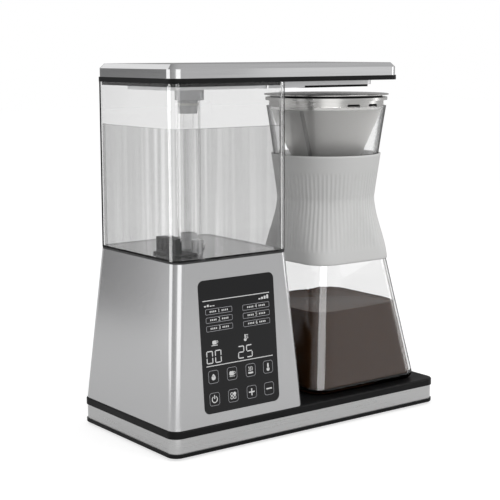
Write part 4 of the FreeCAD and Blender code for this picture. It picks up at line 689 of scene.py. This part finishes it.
class Sketch:
    """Flat shapes in millimetres, x to the right and y up, that are joined into one print."""

    segments: ClassVar[dict[str, str]] = {"0": "abcdef", "2": "abged", "5": "afgcd"}
    segment_gap: ClassVar[float] = 0.35
    segment_round: ClassVar[float] = 0.4
    cap_share: ClassVar[float] = 0.72
    disc_sides: ClassVar[int] = 24

    def __init__(self, line: float) -> None:
        """Start an empty sketch whose outlines are as wide as line."""
        self.line = line
        self.parts: list[Object] = []

    def plate(self, x: float, y: float, width: float, height: float, radius: float = 0.0,
              turn: float = 0.0, frame_only: bool = False) -> None:
        """Draw a rectangle about a centre.

        Args:
            x: Centre across.
            y: Centre up.
            width: Size across.
            height: Size up.
            radius: Corner radius.
            turn: Turn in degrees, anticlockwise.
            frame_only: Keep only an outline as wide as the sketch's line.
        """
        part = start("plate", bpy.ops.mesh.primitive_plane_add, (width, height, 1), size=1, location=(x, y, 0),
                     rotation=(0, 0, math.radians(turn)))
        with edit(part):
            if radius:
                bpy.ops.mesh.bevel(offset=radius, segments=4, affect="VERTICES")
            if frame_only:
                bpy.ops.mesh.select_all(action="SELECT")
                bpy.ops.mesh.inset(thickness=self.line)
                bpy.ops.mesh.delete(type="FACE")
        self.parts.append(part)

    def disc(self, x: float, y: float, radius: float, ring: float = 0.0, opening: float = 0.0) -> None:
        """Draw a disc or a ring about a centre.

        Args:
            x: Centre across.
            y: Centre up.
            radius: Outer radius.
            ring: Width of the ring, or nothing for a disc.
            opening: Width of a gap at the ring's top, in degrees.
        """
        part = start("disc", bpy.ops.mesh.primitive_circle_add, vertices=self.disc_sides, radius=radius,
                     fill_type="NGON", location=(x, y, 0))
        if ring:
            with edit(part):
                bpy.ops.mesh.inset(thickness=ring)
                bpy.ops.mesh.delete(type="FACE")
        if opening:
            half = math.radians(opening / 2)
            with edit(part, test=lambda centre, normal: abs(math.atan2(centre.x - x, centre.y - y)) < half):
                bpy.ops.mesh.delete(type="FACE")
        self.parts.append(part)

    def number(self, text: str, x: float, y: float, height: float) -> None:
        """Write a plain number about a centre.

        Args:
            text: The number.
            x: Centre across.
            y: Centre up.
            height: Height of its figures.
        """
        bpy.ops.object.select_all(action="DESELECT")
        bpy.ops.object.text_add(location=(x, y, 0))
        data = bpy.context.active_object.data
        data.body = text
        data.align_x = data.align_y = "CENTER"
        data.size = height / self.cap_share
        data.resolution_u = 3
        bpy.ops.object.convert(target="MESH")
        bake_place(bpy.context.active_object)
        self.parts.append(bpy.context.active_object)

    def segment_digit(self, digit: str, x: float, y: float, width: float, height: float, bar: float) -> None:
        """Draw one seven-segment digit about a centre.

        Args:
            digit: The digit.
            x: Centre across.
            y: Centre up.
            width: Size across.
            height: Size up.
            bar: Width of a segment.
        """
        gap = bar * self.segment_gap
        side, end = (width - bar) / 2, (height - bar) / 2
        flat, tall = (width - bar - gap * 2, bar), (bar, end - gap * 2)
        places = {"a": (0, end, *flat), "g": (0, 0, *flat), "d": (0, -end, *flat),
                  "b": (side, height / 4, *tall), "c": (side, -height / 4, *tall),
                  "f": (-side, height / 4, *tall), "e": (-side, -height / 4, *tall)}
        for name in self.segments[digit]:
            across, up, wide, high = places[name]
            self.plate(x + across, y + up, wide, high, radius=bar * self.segment_round)

    def joined(self, name: str) -> Object:
        """Join the sketch's shapes into one piece.

        Args:
            name: Name of the piece.

        Returns:
            The piece.
        """
        only(*self.parts)
        bpy.ops.object.join()
        self.parts[0].name = self.parts[0].data.name = name
        return self.parts[0]


@dataclass
class TouchPanel(SubAssembly):
    """Black glass panel with its printed keys, labels and display. Its sizes are in millimetres."""

    finishes: ClassVar[dict[Finish, str]] = {BLACK_GLASS: "panel_glass"}

    deck_top: float = 26.45
    rise: float = 144.05
    foot_half_depth: float = 77.7
    top_half_depth: float = 65.35
    line: float = 0.42
    ink: float = 0.05
    lift: float = 0.02
    key_columns: tuple[float, ...] = (-112.7, -92.4, -71.7, -51.9)
    key_rows: tuple[float, ...] = (68.6, 48.7)
    key_width: float = 11.0
    key_height: float = 11.7
    key_corner: float = 2.4
    label_height: float = 5.2
    # Middle, width and heights of the frames in each column of labels
    label_columns: tuple[tuple, ...] = ((-103.0, 29.0, (126.3, 118.9, 111.3)), (-61.9, 30.2, (125.5, 118.2, 110.7)))
    # Text, left end and right end of each number of the display
    numbers: tuple[tuple, ...] = (("00", -119.0, -102.8), ("25", -84.6, -68.4))
    number_level: float = 86.2
    digit_gap: float = 2.2
    digit_height: float = 11.5
    segment: float = 0.95

    def tilt(self) -> float:
        """Lean of the front wall from upright."""
        return math.atan2(self.foot_half_depth - self.top_half_depth, self.rise)

    def up(self, z: float) -> float:
        """Turn a height over the floor into a distance up the slope."""
        return (z - self.deck_top) / math.cos(self.tilt())

    def print_on_glass(self, name: str, sketch: Sketch, finish: Finish) -> None:
        """Thicken a sketch to a film of ink and stand it on the glass.

        Args:
            name: Name of the print.
            sketch: Its shapes.
            finish: Its ink.
        """
        piece = sketch.joined(name)
        apply_modifier(piece, "SOLIDIFY", thickness=self.ink, offset=1.0)
        lean = Matrix.Rotation(math.radians(90) - self.tilt(), 4, "X")
        foot = Matrix.Translation((0, -self.foot_half_depth, self.deck_top))
        piece.data.transform(Matrix.Scale(MM, 4) @ foot @ lean @ Matrix.Translation((0, 0, self.lift)))
        finish_piece(piece, finish, "machine")

    def build(self) -> None:
        """Print the rules, labels, display and keys."""
        for print_part in (self.build_rules, self.build_labels, self.build_display, self.build_key_frames,
                           self.build_symbols):
            print_part()

    def build_rules(self) -> None:
        """Two thin rules across the panel, with strength marks under the upper one."""
        sketch = Sketch(self.line)
        sketch.plate(-83.2, self.up(136.2), 73.8, 0.7)
        sketch.plate(-82.7, self.up(78.4), 73.8, 0.7)
        for count, left in ((2, -117.5), (4, -57.5)):
            for index in range(4):
                tall = 1.2 + 0.75 * index if index < count else 0.9
                sketch.plate(left + index * 3.0, self.up(130.9) + tall / 2, 2.1, tall)
        self.print_on_glass("panel_rules", sketch, WHITE_INK)

    def build_labels(self) -> None:
        """Six label frames with a number each, and two small marks over the display."""
        frames, marks = Sketch(self.line), Sketch(self.line)
        places = [(x, width, self.up(z)) for x, width, heights in self.label_columns for z in heights]
        for number, (x, width, y) in enumerate(places, 1):
            frames.plate(x, y, width, self.label_height, radius=1.2, frame_only=True)
            marks.number(str(number), x, y, 3.3)
            for side in (-1, 1):
                for step in range(4):
                    marks.plate(x + side * (3.6 + 1.9 * step), y, 1.1, 1.5)
        # Small cup and thermometer over the two numbers of the display
        cup, y = -109.6, self.up(98.8)
        marks.plate(cup, y, 4.6, 3.4, radius=1.0)
        marks.disc(cup + 2.7, y + 0.3, 1.2, ring=0.5)
        marks.plate(cup, y - 2.6, 6.8, 0.7)
        stem, y = -75.8, self.up(98.7)
        marks.plate(stem, y + 0.9, 1.4, 4.4, radius=0.6)
        marks.disc(stem, y - 1.7, 1.5)
        for step in range(3):
            marks.plate(stem + 2.3, y + 2.4 - 1.5 * step, 2.0, 0.6)
        self.print_on_glass("panel_label_frames", frames, GREY_INK)
        self.print_on_glass("panel_label_marks", marks, WHITE_INK)

    def build_display(self) -> None:
        """Two lit numbers of two digits."""
        sketch = Sketch(self.line)
        for text, left, right in self.numbers:
            width = (right - left - self.digit_gap) / 2
            for index, digit in enumerate(text):
                x = left + width / 2 + index * (width + self.digit_gap)
                sketch.segment_digit(digit, x, self.up(self.number_level), width, self.digit_height, self.segment)
        self.print_on_glass("display_digits", sketch, WHITE_INK)

    def build_key_frames(self) -> None:
        """Rounded frames of the eight touch keys."""
        sketch = Sketch(self.line)
        for z in self.key_rows:
            for x in self.key_columns:
                sketch.plate(x, self.up(z), self.key_width, self.key_height, radius=self.key_corner, frame_only=True)
        self.print_on_glass("key_frames", sketch, GREY_INK)

    def build_symbols(self) -> None:
        """A generic symbol in each key: drop, cup, steam, heat, power, mode, plus and minus."""
        sketch = Sketch(self.line)
        top, low = (self.up(z) for z in self.key_rows)
        drop, cup, steam, heat = self.key_columns
        sketch.disc(drop, top - 0.8, 2.2)
        sketch.plate(drop, top + 1.0, 2.4, 2.4, radius=0.3, turn=45)
        sketch.plate(cup - 0.4, top + 0.2, 5.0, 3.8, radius=1.2)
        sketch.disc(cup + 2.4, top + 0.5, 1.3, ring=0.5)
        sketch.plate(cup, top - 2.5, 5.8, 0.5)
        for step in (-1, 0, 1):
            for half in (1, -1):
                sketch.plate(steam + step * 1.7, top + 1.2 + half, 0.7, 2.2, turn=18 * half)
        sketch.plate(steam, top - 2.4, 5.4, 1.6, radius=0.3)
        sketch.plate(heat, top + 0.9, 1.7, 5.2, radius=0.8)
        sketch.disc(heat, top - 2.1, 1.7)
        sketch.disc(drop, low - 0.2, 3.2, ring=0.85, opening=70)
        sketch.plate(drop, low + 1.9, 0.95, 3.4)
        for across, up, ring in ((-1.6, -1.6, 0.6), (1.6, -1.6, 0.6), (-1.6, 1.6, 0.6), (1.6, 1.6, 0.0)):
            sketch.disc(cup + across, low + up, 1.6, ring=ring)
        for x in (steam, heat):
            sketch.plate(x, low, 6.4, 1.25)
        for up in (1.9, -1.9):
            sketch.plate(steam, low + up, 1.25, 2.55)
        self.print_on_glass("key_symbols", sketch, WHITE_INK)


@dataclass
class Lid(SubAssembly):
    """Lid that bridges the tank and the carafe, with the duct and the riser's plug."""

    finishes: ClassVar[dict[Finish, str]] = {
        BLACK_ABS: "lid_base shower_plate", BRUSHED_LID: "lid_cover", SILVER_LACQUER: "duct_tray",
        MILKY_SILICONE: "duct_gasket coupling_ring", ZINC_PLATE: "lid_screws",
        GREY_ABS: "coupling_block coupling_cone"}


@dataclass
class Carafe(SubAssembly):
    """Glass carafe with its coffee and the ribbed sleeve round its waist. Levels count from its underside."""

    finishes: ClassVar[dict[Finish, str]] = {BLOWN_GLASS: "carafe_glass"}

    axis: float = 78.75 * MM
    underside: float = 26.55 * MM
    foot_half: float = 69.8 * MM
    square_half: float = 49.3 * MM
    square_corner: float = 21.7 * MM
    square_level: float = 121.45 * MM
    waist_level: float = 183.45 * MM
    waist_radius: float = 46.3 * MM
    rim_level: float = 273.25 * MM
    rim_radius: float = 58.9 * MM
    rim_flare: float = 0.15
    least_flat: float = 0.1 * MM
    glass_wall: float = 2.3 * MM
    glass_floor: float = 4.0 * MM
    foot_round: float = 3.7 * MM
    coffee_level: float = 78.15 * MM
    film: float = 0.3 * MM
    meniscus: float = 1.4 * MM
    meniscus_rise: float = 0.6 * MM
    sleeve_low: float = 122.0 * MM
    sleeve_high: float = 226.55 * MM
    sleeve_gap: float = 0.2 * MM
    sleeve_wall_low: float = 1.0 * MM
    sleeve_wall_high: float = 2.1 * MM
    sleeve_edge: float = 0.35 * MM
    ribs: int = 76
    rib_depth: float = 0.5 * MM
    rib_low: float = 133.5 * MM
    rib_high: float = 210.5 * MM
    rib_fade: float = 5.0 * MM
    steps_per_rib: int = 8
    corner_steps: int = 16
    foot_steps: int = 5
    outer_rows: int = 58
    inner_rows: int = 16

    def section(self, level: float) -> Pair:
        """Work out the section of the glass, which turns from a rounded square to a circle.

        Args:
            level: Height over its underside.

        Returns:
            Half its width there, and its corner radius, which is nearly that where the glass is round.
        """
        if level <= self.square_level:
            return self.foot_half + (self.square_half - self.foot_half) * level / self.square_level, self.square_corner
        share = (level - self.square_level) / (self.waist_level - self.square_level)
        half = self.square_half + (self.waist_radius - self.square_half) * share
        if level > self.waist_level:
            share = (level - self.waist_level) / (self.rim_level - self.waist_level)
            flare = (1 - self.rim_flare) * share + self.rim_flare * share * share
            half = self.waist_radius + (self.rim_radius - self.waist_radius) * flare
            share = 1.0
        turned = share * share * (3 - 2 * share)
        return half, self.square_corner + (half - self.least_flat - self.square_corner) * turned

    def reach(self, level: float, proud: float, angle: float) -> float:
        """Work out how far from the axis a surface lies that stands proud of the glass.

        Args:
            level: Height over the underside.
            proud: Distance from the glass.
            angle: Direction from the axis, in radians.

        Returns:
            Its distance from the axis.
        """
        half, corner = (size + proud for size in self.section(level))
        c, s = abs(math.cos(angle)), abs(math.sin(angle))
        flat = half / max(c, s)
        if min(c, s) * flat <= half - corner:
            return flat
        centre = half - corner
        along = centre * (c + s)
        return along + math.sqrt(max(along * along - 2 * centre * centre + corner * corner, 0.0))

    def rib(self, level: float, angle: float) -> float:
        """Work out how deep the groove between two ribs is.

        Args:
            level: Height over the underside.
            angle: Direction from the axis, in radians.

        Returns:
            Its depth, which fades out at both ends of the ribs.
        """
        ends = max(0.0, min(1.0, min(level - self.rib_low, self.rib_high - level) / self.rib_fade))
        wave = 0.5 - 0.5 * math.cos(self.ribs * angle)
        return self.rib_depth * ends * ends * (3 - 2 * ends) * wave

    def sleeve_rows(self) -> list[tuple[float, float, bool]]:
        """List the rows of the sleeve's skin as level, distance from the glass and whether it is ribbed.

        Returns:
            The rows from the outer bottom edge over the top and down the inside.
        """
        low, high, gap, edge = self.sleeve_low, self.sleeve_high, self.sleeve_gap, self.sleeve_edge
        rows = [(low, gap + self.sleeve_wall_low - edge, False)]
        for index in range(self.outer_rows):
            level = low + edge + (high - low - 2 * edge) * index / (self.outer_rows - 1)
            # The sleeve is thicker towards its top
            thicker = (self.sleeve_wall_high - self.sleeve_wall_low) * (level - low) / (high - low)
            rows.append((level, gap + self.sleeve_wall_low + thicker, True))
        rows += [(high, gap + self.sleeve_wall_high - edge, False), (high, gap + edge, False)]
        for index in range(self.inner_rows):
            rows.append((high - edge - (high - low - 2 * edge) * index / (self.inner_rows - 1), gap, False))
        return rows + [(low, gap + edge * 0.5, False)]

    def build_sleeve(self) -> None:
        """Model the ribbed sleeve as a tube whose rows follow the glass.

        Its section turns from a rounded square to a circle, so each row is placed by the glass's formula.
        """
        rows = self.sleeve_rows()
        sleeve = start("ribbed_sleeve", bpy.ops.mesh.primitive_cylinder_add, radius=1, depth=1,
                       vertices=self.ribs * self.steps_per_rib, end_fill_type="NOTHING")
        with edit(sleeve, Pick.EDGES, lambda a, b: abs(a.z - b.z) > 0.5):
            bpy.ops.mesh.subdivide(number_cuts=len(rows) - 2)
        for vertex in sleeve.data.vertices:
            level, proud, ribbed = rows[round((vertex.co.z + 0.5) * (len(rows) - 1))]
            angle = math.atan2(vertex.co.y, vertex.co.x)
            reach = self.reach(level, proud, angle) - (self.rib(level, angle) if ribbed else 0.0)
            vertex.co = (self.axis + reach * math.cos(angle), reach * math.sin(angle), self.underside + level)
        with edit(sleeve, Pick.EDGES, lambda a, b: False):
            bpy.ops.mesh.select_non_manifold()
            bpy.ops.mesh.bridge_edge_loops()
            bpy.ops.mesh.select_all(action="SELECT")
            bpy.ops.mesh.normals_make_consistent(inside=False)
        finish_piece(sleeve, SLEEVE_SILICONE, "carafe", smooth=60)
        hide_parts("carafe_sleeve")

    def build_coffee(self) -> None:
        """Fill the carafe's foot with coffee that follows its tapered, rounded inside."""
        inset = self.glass_wall + self.film
        low, high = self.glass_floor + self.film, self.coffee_level
        wide, narrow = (self.section(level)[0] - inset for level in (low, high))
        coffee = add_box("coffee", Vector((self.axis - wide, -wide, self.underside + low)),
                         Vector((self.axis + wide, wide, self.underside + high)))
        with edit(coffee, test=lambda centre, normal: normal.z > UPWARD):
            bpy.ops.transform.resize(value=(narrow / wide, narrow / wide, 1),
                                     center_override=(self.axis, 0, self.underside + high))
        round_uprights(coffee, self.square_corner - inset, self.corner_steps)
        with edit(coffee, Pick.EDGES, lambda a, b: max(a.z, b.z) < self.underside + low + self.film):
            bpy.ops.mesh.bevel(offset=self.foot_round, segments=self.foot_steps, affect="EDGES")
        curve_top(coffee, self.meniscus, self.meniscus_rise)
        finish_piece(coffee, COFFEE, "carafe")

    def build(self) -> None:
        """Build the sleeve and the coffee."""
        self.build_sleeve()
        self.build_coffee()


@dataclass
class Filter(SubAssembly):
    """Cone filter with its slotted collar, seam and lid."""

    finishes: ClassVar[dict[Finish, str]] = {
        BRIGHT_STEEL: "filter_collar filter_tip filter_lid", ETCHED_STEEL: "filter_mesh", BLACK_RUBBER: "filter_seal"}

    axis: float = 78.75 * MM
    cone_top: float = 296.6 * MM
    cone_foot: float = 196.0 * MM
    cone_top_radius: float = 55.0 * MM
    slope: float = 0.44
    seam_width: float = 4.2 * MM
    seam_proud: float = 0.15 * MM
    seam_round: float = 0.0525 * MM
    seam_angle: float = -155.5

    def build(self) -> None:
        """Lay the welded seam of the cone's sheet down its side."""
        height = self.cone_top - self.cone_foot
        seam = add_box("cone_seam", Vector((0, -self.seam_width / 2, 0)),
                       Vector((self.seam_proud, self.seam_width / 2, height)))
        with edit(seam):
            bpy.ops.mesh.bevel(offset=self.seam_round, segments=2, affect="EDGES")
        lean = Matrix.Identity(4)
        lean[0][2] = self.slope
        foot_radius = self.cone_top_radius - self.slope * height
        place = Matrix.Translation((self.axis, 0, self.cone_foot)) @ Matrix.Rotation(
            math.radians(self.seam_angle), 4, "Z") @ Matrix.Translation((foot_radius, 0, 0)) @ lean
        seam.data.transform(place)
        finish_piece(seam, WELD_SEAM, "filter")


@dataclass(frozen=True)
class Card:
    """An upright card seen only in mirrors: its two ends on the floor, height, and brightness at each end."""

    name: str
    start: Pair
    end: Pair
    height: float
    glow: Pair
    glass_gain: float = 1.0


class Reach(Enum):
    """Which surfaces a lamp lights."""

    ALL = "all"
    MIRRORS = "mirrors"
    MATT = "matt"


@dataclass(frozen=True)
class Softbox:
    """A lamp that faces the object: its middle, width, height, brightness where 1 is white, and what it lights."""

    name: str
    place: Triple
    width: float
    height: float
    brightness: float
    reach: Reach = Reach.ALL


@dataclass
class Studio:
    """Camera, floor, backdrop light and lamps, in metres."""

    camera_place: Triple = (-0.745673, -0.969437, 0.352627)
    forward: Triple = (0.59373133, 0.78981884, -0.15384834)
    upward: Triple = (0.09452014, 0.12141596, 0.98809114)
    lens: float = 91.854
    sensor: float = 36.0
    shift: float = 0.00104
    clip: Pair = (0.01, 60.0)
    aim: Triple = (0.0, 0.0, 0.17)
    floor_size: float = 12.0
    floor_drop: float = 0.05 * MM
    floor_colour: str = "B8B8B8"
    floor_mirrored: float = 0.26
    floor_seen: float = 0.68
    ambient: float = 0.68
    mirrored: float = 0.62
    mirrored_dark: float = 0.25
    bright_side: Triple = (0.35, -0.9, 0.25)
    bright_turn: Pair = (-0.95, 0.5)
    card_gap: float = 2.0 * MM
    clear_walls: int = 48
    softboxes: tuple[Softbox, ...] = (
        # Broad softbox over the user's right shoulder, the main light
        Softbox("key_softbox", (0.75, -1.25, 1.55), 1.1, 1.1, 2.6),
        # Weak light from behind, which keeps the far side readable and shows in the lid's left bevel
        Softbox("rear_softbox", (-0.2, 1.5, 1.25), 1.0, 1.0, 0.8),
        # Weak fill from the left, which mirrors don't show, for the shaded flank of the sleeve
        Softbox("left_fill", (-1.35, -0.5, 0.85), 1.1, 1.1, 0.9, Reach.MATT),
        # Tall strip, seen only in mirrors, for the upright stripe on the rounded corners' right
        Softbox("right_strip", (1.6, -0.7, 0.5), 0.25, 1.4, 2.5, Reach.MIRRORS),
        # Far to the right, which lightens the right half of the lid's front
        Softbox("right_card", (1.19, -1.065, 0.35), 0.8, 0.2, 0.27, Reach.MIRRORS))
    cards: tuple[Card, ...] = (
        # Bright and shaded stretch to the left: the corners' left stripe and the darkening of the left faces
        Card("left_stripe_card", (-0.66, 0.05), (-0.66, 0.62), 0.65, (1.4, 1.4), 8.0),
        Card("left_shade_card", (-0.66, 0.64), (-0.66, 1.12), 0.3, (0.5, 0.05)),
        # In front, and low before the slab: the corners' right stripe, also at the tower's foot
        Card("front_card", (-1.37, -1.24), (-0.24, -1.32), 1.2, (1.5, 1.5), 5.5),
        Card("foot_card", (-0.197, -0.118), (-0.143, -0.133), 0.024, (1.0, 1.0)),
        # Dim, for the fainter second stripe on the carafe's corner
        Card("side_card", (-1.2, -0.18), (-1.2, -0.58), 1.2, (0.5, 0.5), 3.6))

    def build(self) -> None:
        """Build everything round the object."""
        self.add_camera()
        self.add_floor()
        self.add_world()
        for softbox in self.softboxes:
            self.add_softbox(softbox)
        for card in self.cards:
            self.add_card(card)
        scene = bpy.context.scene
        scene.view_settings.view_transform = "Standard"
        scene.cycles.transparent_max_bounces = self.clear_walls

    def add_camera(self) -> None:
        """Stand the camera where the picture was taken."""
        data = bpy.data.cameras.new("camera")
        data.lens = self.lens
        data.sensor_width = self.sensor
        data.shift_x = self.shift
        data.clip_start, data.clip_end = self.clip
        camera = bpy.data.objects.new("camera", data)
        bpy.context.scene.collection.objects.link(camera)
        forward = Vector(self.forward).normalized()
        right = forward.cross(Vector(self.upward)).normalized()
        turn = Matrix((right, right.cross(forward), -forward)).transposed().to_4x4()
        camera.matrix_world = Matrix.Translation(self.camera_place) @ turn
        bpy.context.scene.camera = camera

    def add_floor(self) -> None:
        """Lay a pale floor that shows white but keeps the object's shadow."""
        floor = start("studio_floor", bpy.ops.mesh.primitive_plane_add, size=self.floor_size,
                      location=(0, 0, -self.floor_drop))
        material = bpy.data.materials.new("pale_studio_floor")
        add = node_adder(material)
        seen = add("Math", [seen_directly(add), self.floor_seen], operation="MULTIPLY")
        glossy = add("LightPath").outputs["Is Glossy Ray"]
        mirrored = add("Math", [glossy, self.floor_mirrored], operation="MULTIPLY")
        glow = add("Math", [seen, mirrored], operation="MAXIMUM")
        matt = add("BsdfDiffuse", {"Color": linear(self.floor_colour)})
        light = add("Emission", {"Color": WHITE, "Strength": glow})
        add("OutputMaterial", {"Surface": add("AddShader", [matt, light])})
        floor.data.materials.append(material)

    def add_world(self) -> None:
        """White for the camera, softly shaded in mirrors, and an even fill for matt surfaces."""
        world = bpy.data.worlds.new("studio")
        bpy.context.scene.world = world
        add = node_adder(world)
        # Mirrors see a studio that is darker to the left and behind than to the right and in front
        side = add("VectorMath", [add("TexCoord").outputs["Generated"], self.bright_side], operation="DOT_PRODUCT")
        shade = add("MapRange", [side, *self.bright_turn, self.mirrored_dark, self.mirrored], **EASED)
        mirrored, even, white = (add("Background", {"Color": WHITE, "Strength": strength})
                                 for strength in (shade, self.ambient, 1.0))
        inner = add("MixShader", [add("LightPath").outputs["Is Glossy Ray"], even, mirrored])
        add("OutputWorld", {"Surface": add("MixShader", [seen_directly(add), inner, white])})

    def add_softbox(self, softbox: Softbox) -> None:
        """Hang a softbox that faces the object.

        Args:
            softbox: Its sizes and place.
        """
        data = bpy.data.lights.new(softbox.name, "AREA")
        data.shape = "RECTANGLE"
        data.size, data.size_y = softbox.width, softbox.height
        data.energy = softbox.brightness * math.pi * softbox.width * softbox.height
        lamp = bpy.data.objects.new(softbox.name, data)
        lamp.visible_camera = False
        lamp.visible_diffuse = softbox.reach is not Reach.MIRRORS
        lamp.visible_glossy = lamp.visible_transmission = softbox.reach is not Reach.MATT
        bpy.context.scene.collection.objects.link(lamp)
        turn = (Vector(self.aim) - Vector(softbox.place)).to_track_quat("-Z", "Y")
        lamp.matrix_world = Matrix.Translation(softbox.place) @ turn.to_matrix().to_4x4()

    def add_card(self, card: Card) -> None:
        """Stand a glowing card that only mirrors see.

        Args:
            card: Its sizes and place.
        """
        near, far = (Vector((*point, card.height / 2)) for point in (card.start, card.end))
        along = far - near
        piece = start(card.name, bpy.ops.mesh.primitive_plane_add, (along.length, card.height - self.card_gap, 1),
                      size=1, location=(near + far) / 2,
                      rotation=(math.radians(90), 0, math.atan2(along.y, along.x)))
        material = bpy.data.materials.new(card.name + "_light")
        add = node_adder(material)
        # The way along the card, as a share of its length, gives its brightness
        place = add("VectorMath", [add("TexCoord").outputs["Object"], near], operation="SUBTRACT")
        way = add("VectorMath", [place, along / along.length_squared], operation="DOT_PRODUCT")
        glow = add("MapRange", [way, 0.0, 1.0, *card.glow])
        # Clear glass mirrors sharply but little, so it sees the card brighter than metal does
        sharp = add("LightPath").outputs["Is Singular Ray"]
        gain = add("MapRange", [sharp, 0.0, 1.0, 1.0, card.glass_gain])
        strength = add("Math", [glow, gain], operation="MULTIPLY")
        add("OutputMaterial", {"Surface": add("Emission", {"Strength": strength})})
        piece.data.materials.append(material)
        piece.visible_camera = piece.visible_diffuse = False
        piece.visible_transmission = piece.visible_shadow = False


def main() -> None:
    logging.basicConfig(level=logging.INFO, format="%(message)s")
    Studio().build()
    for part in (Slab(), Tower(), TouchPanel(), Tank(), Lid(), Carafe(), Filter()):
        LOG.info("%s", type(part).__name__)
        part.dress()
        part.build()


if __name__ == "__main__":
    main()
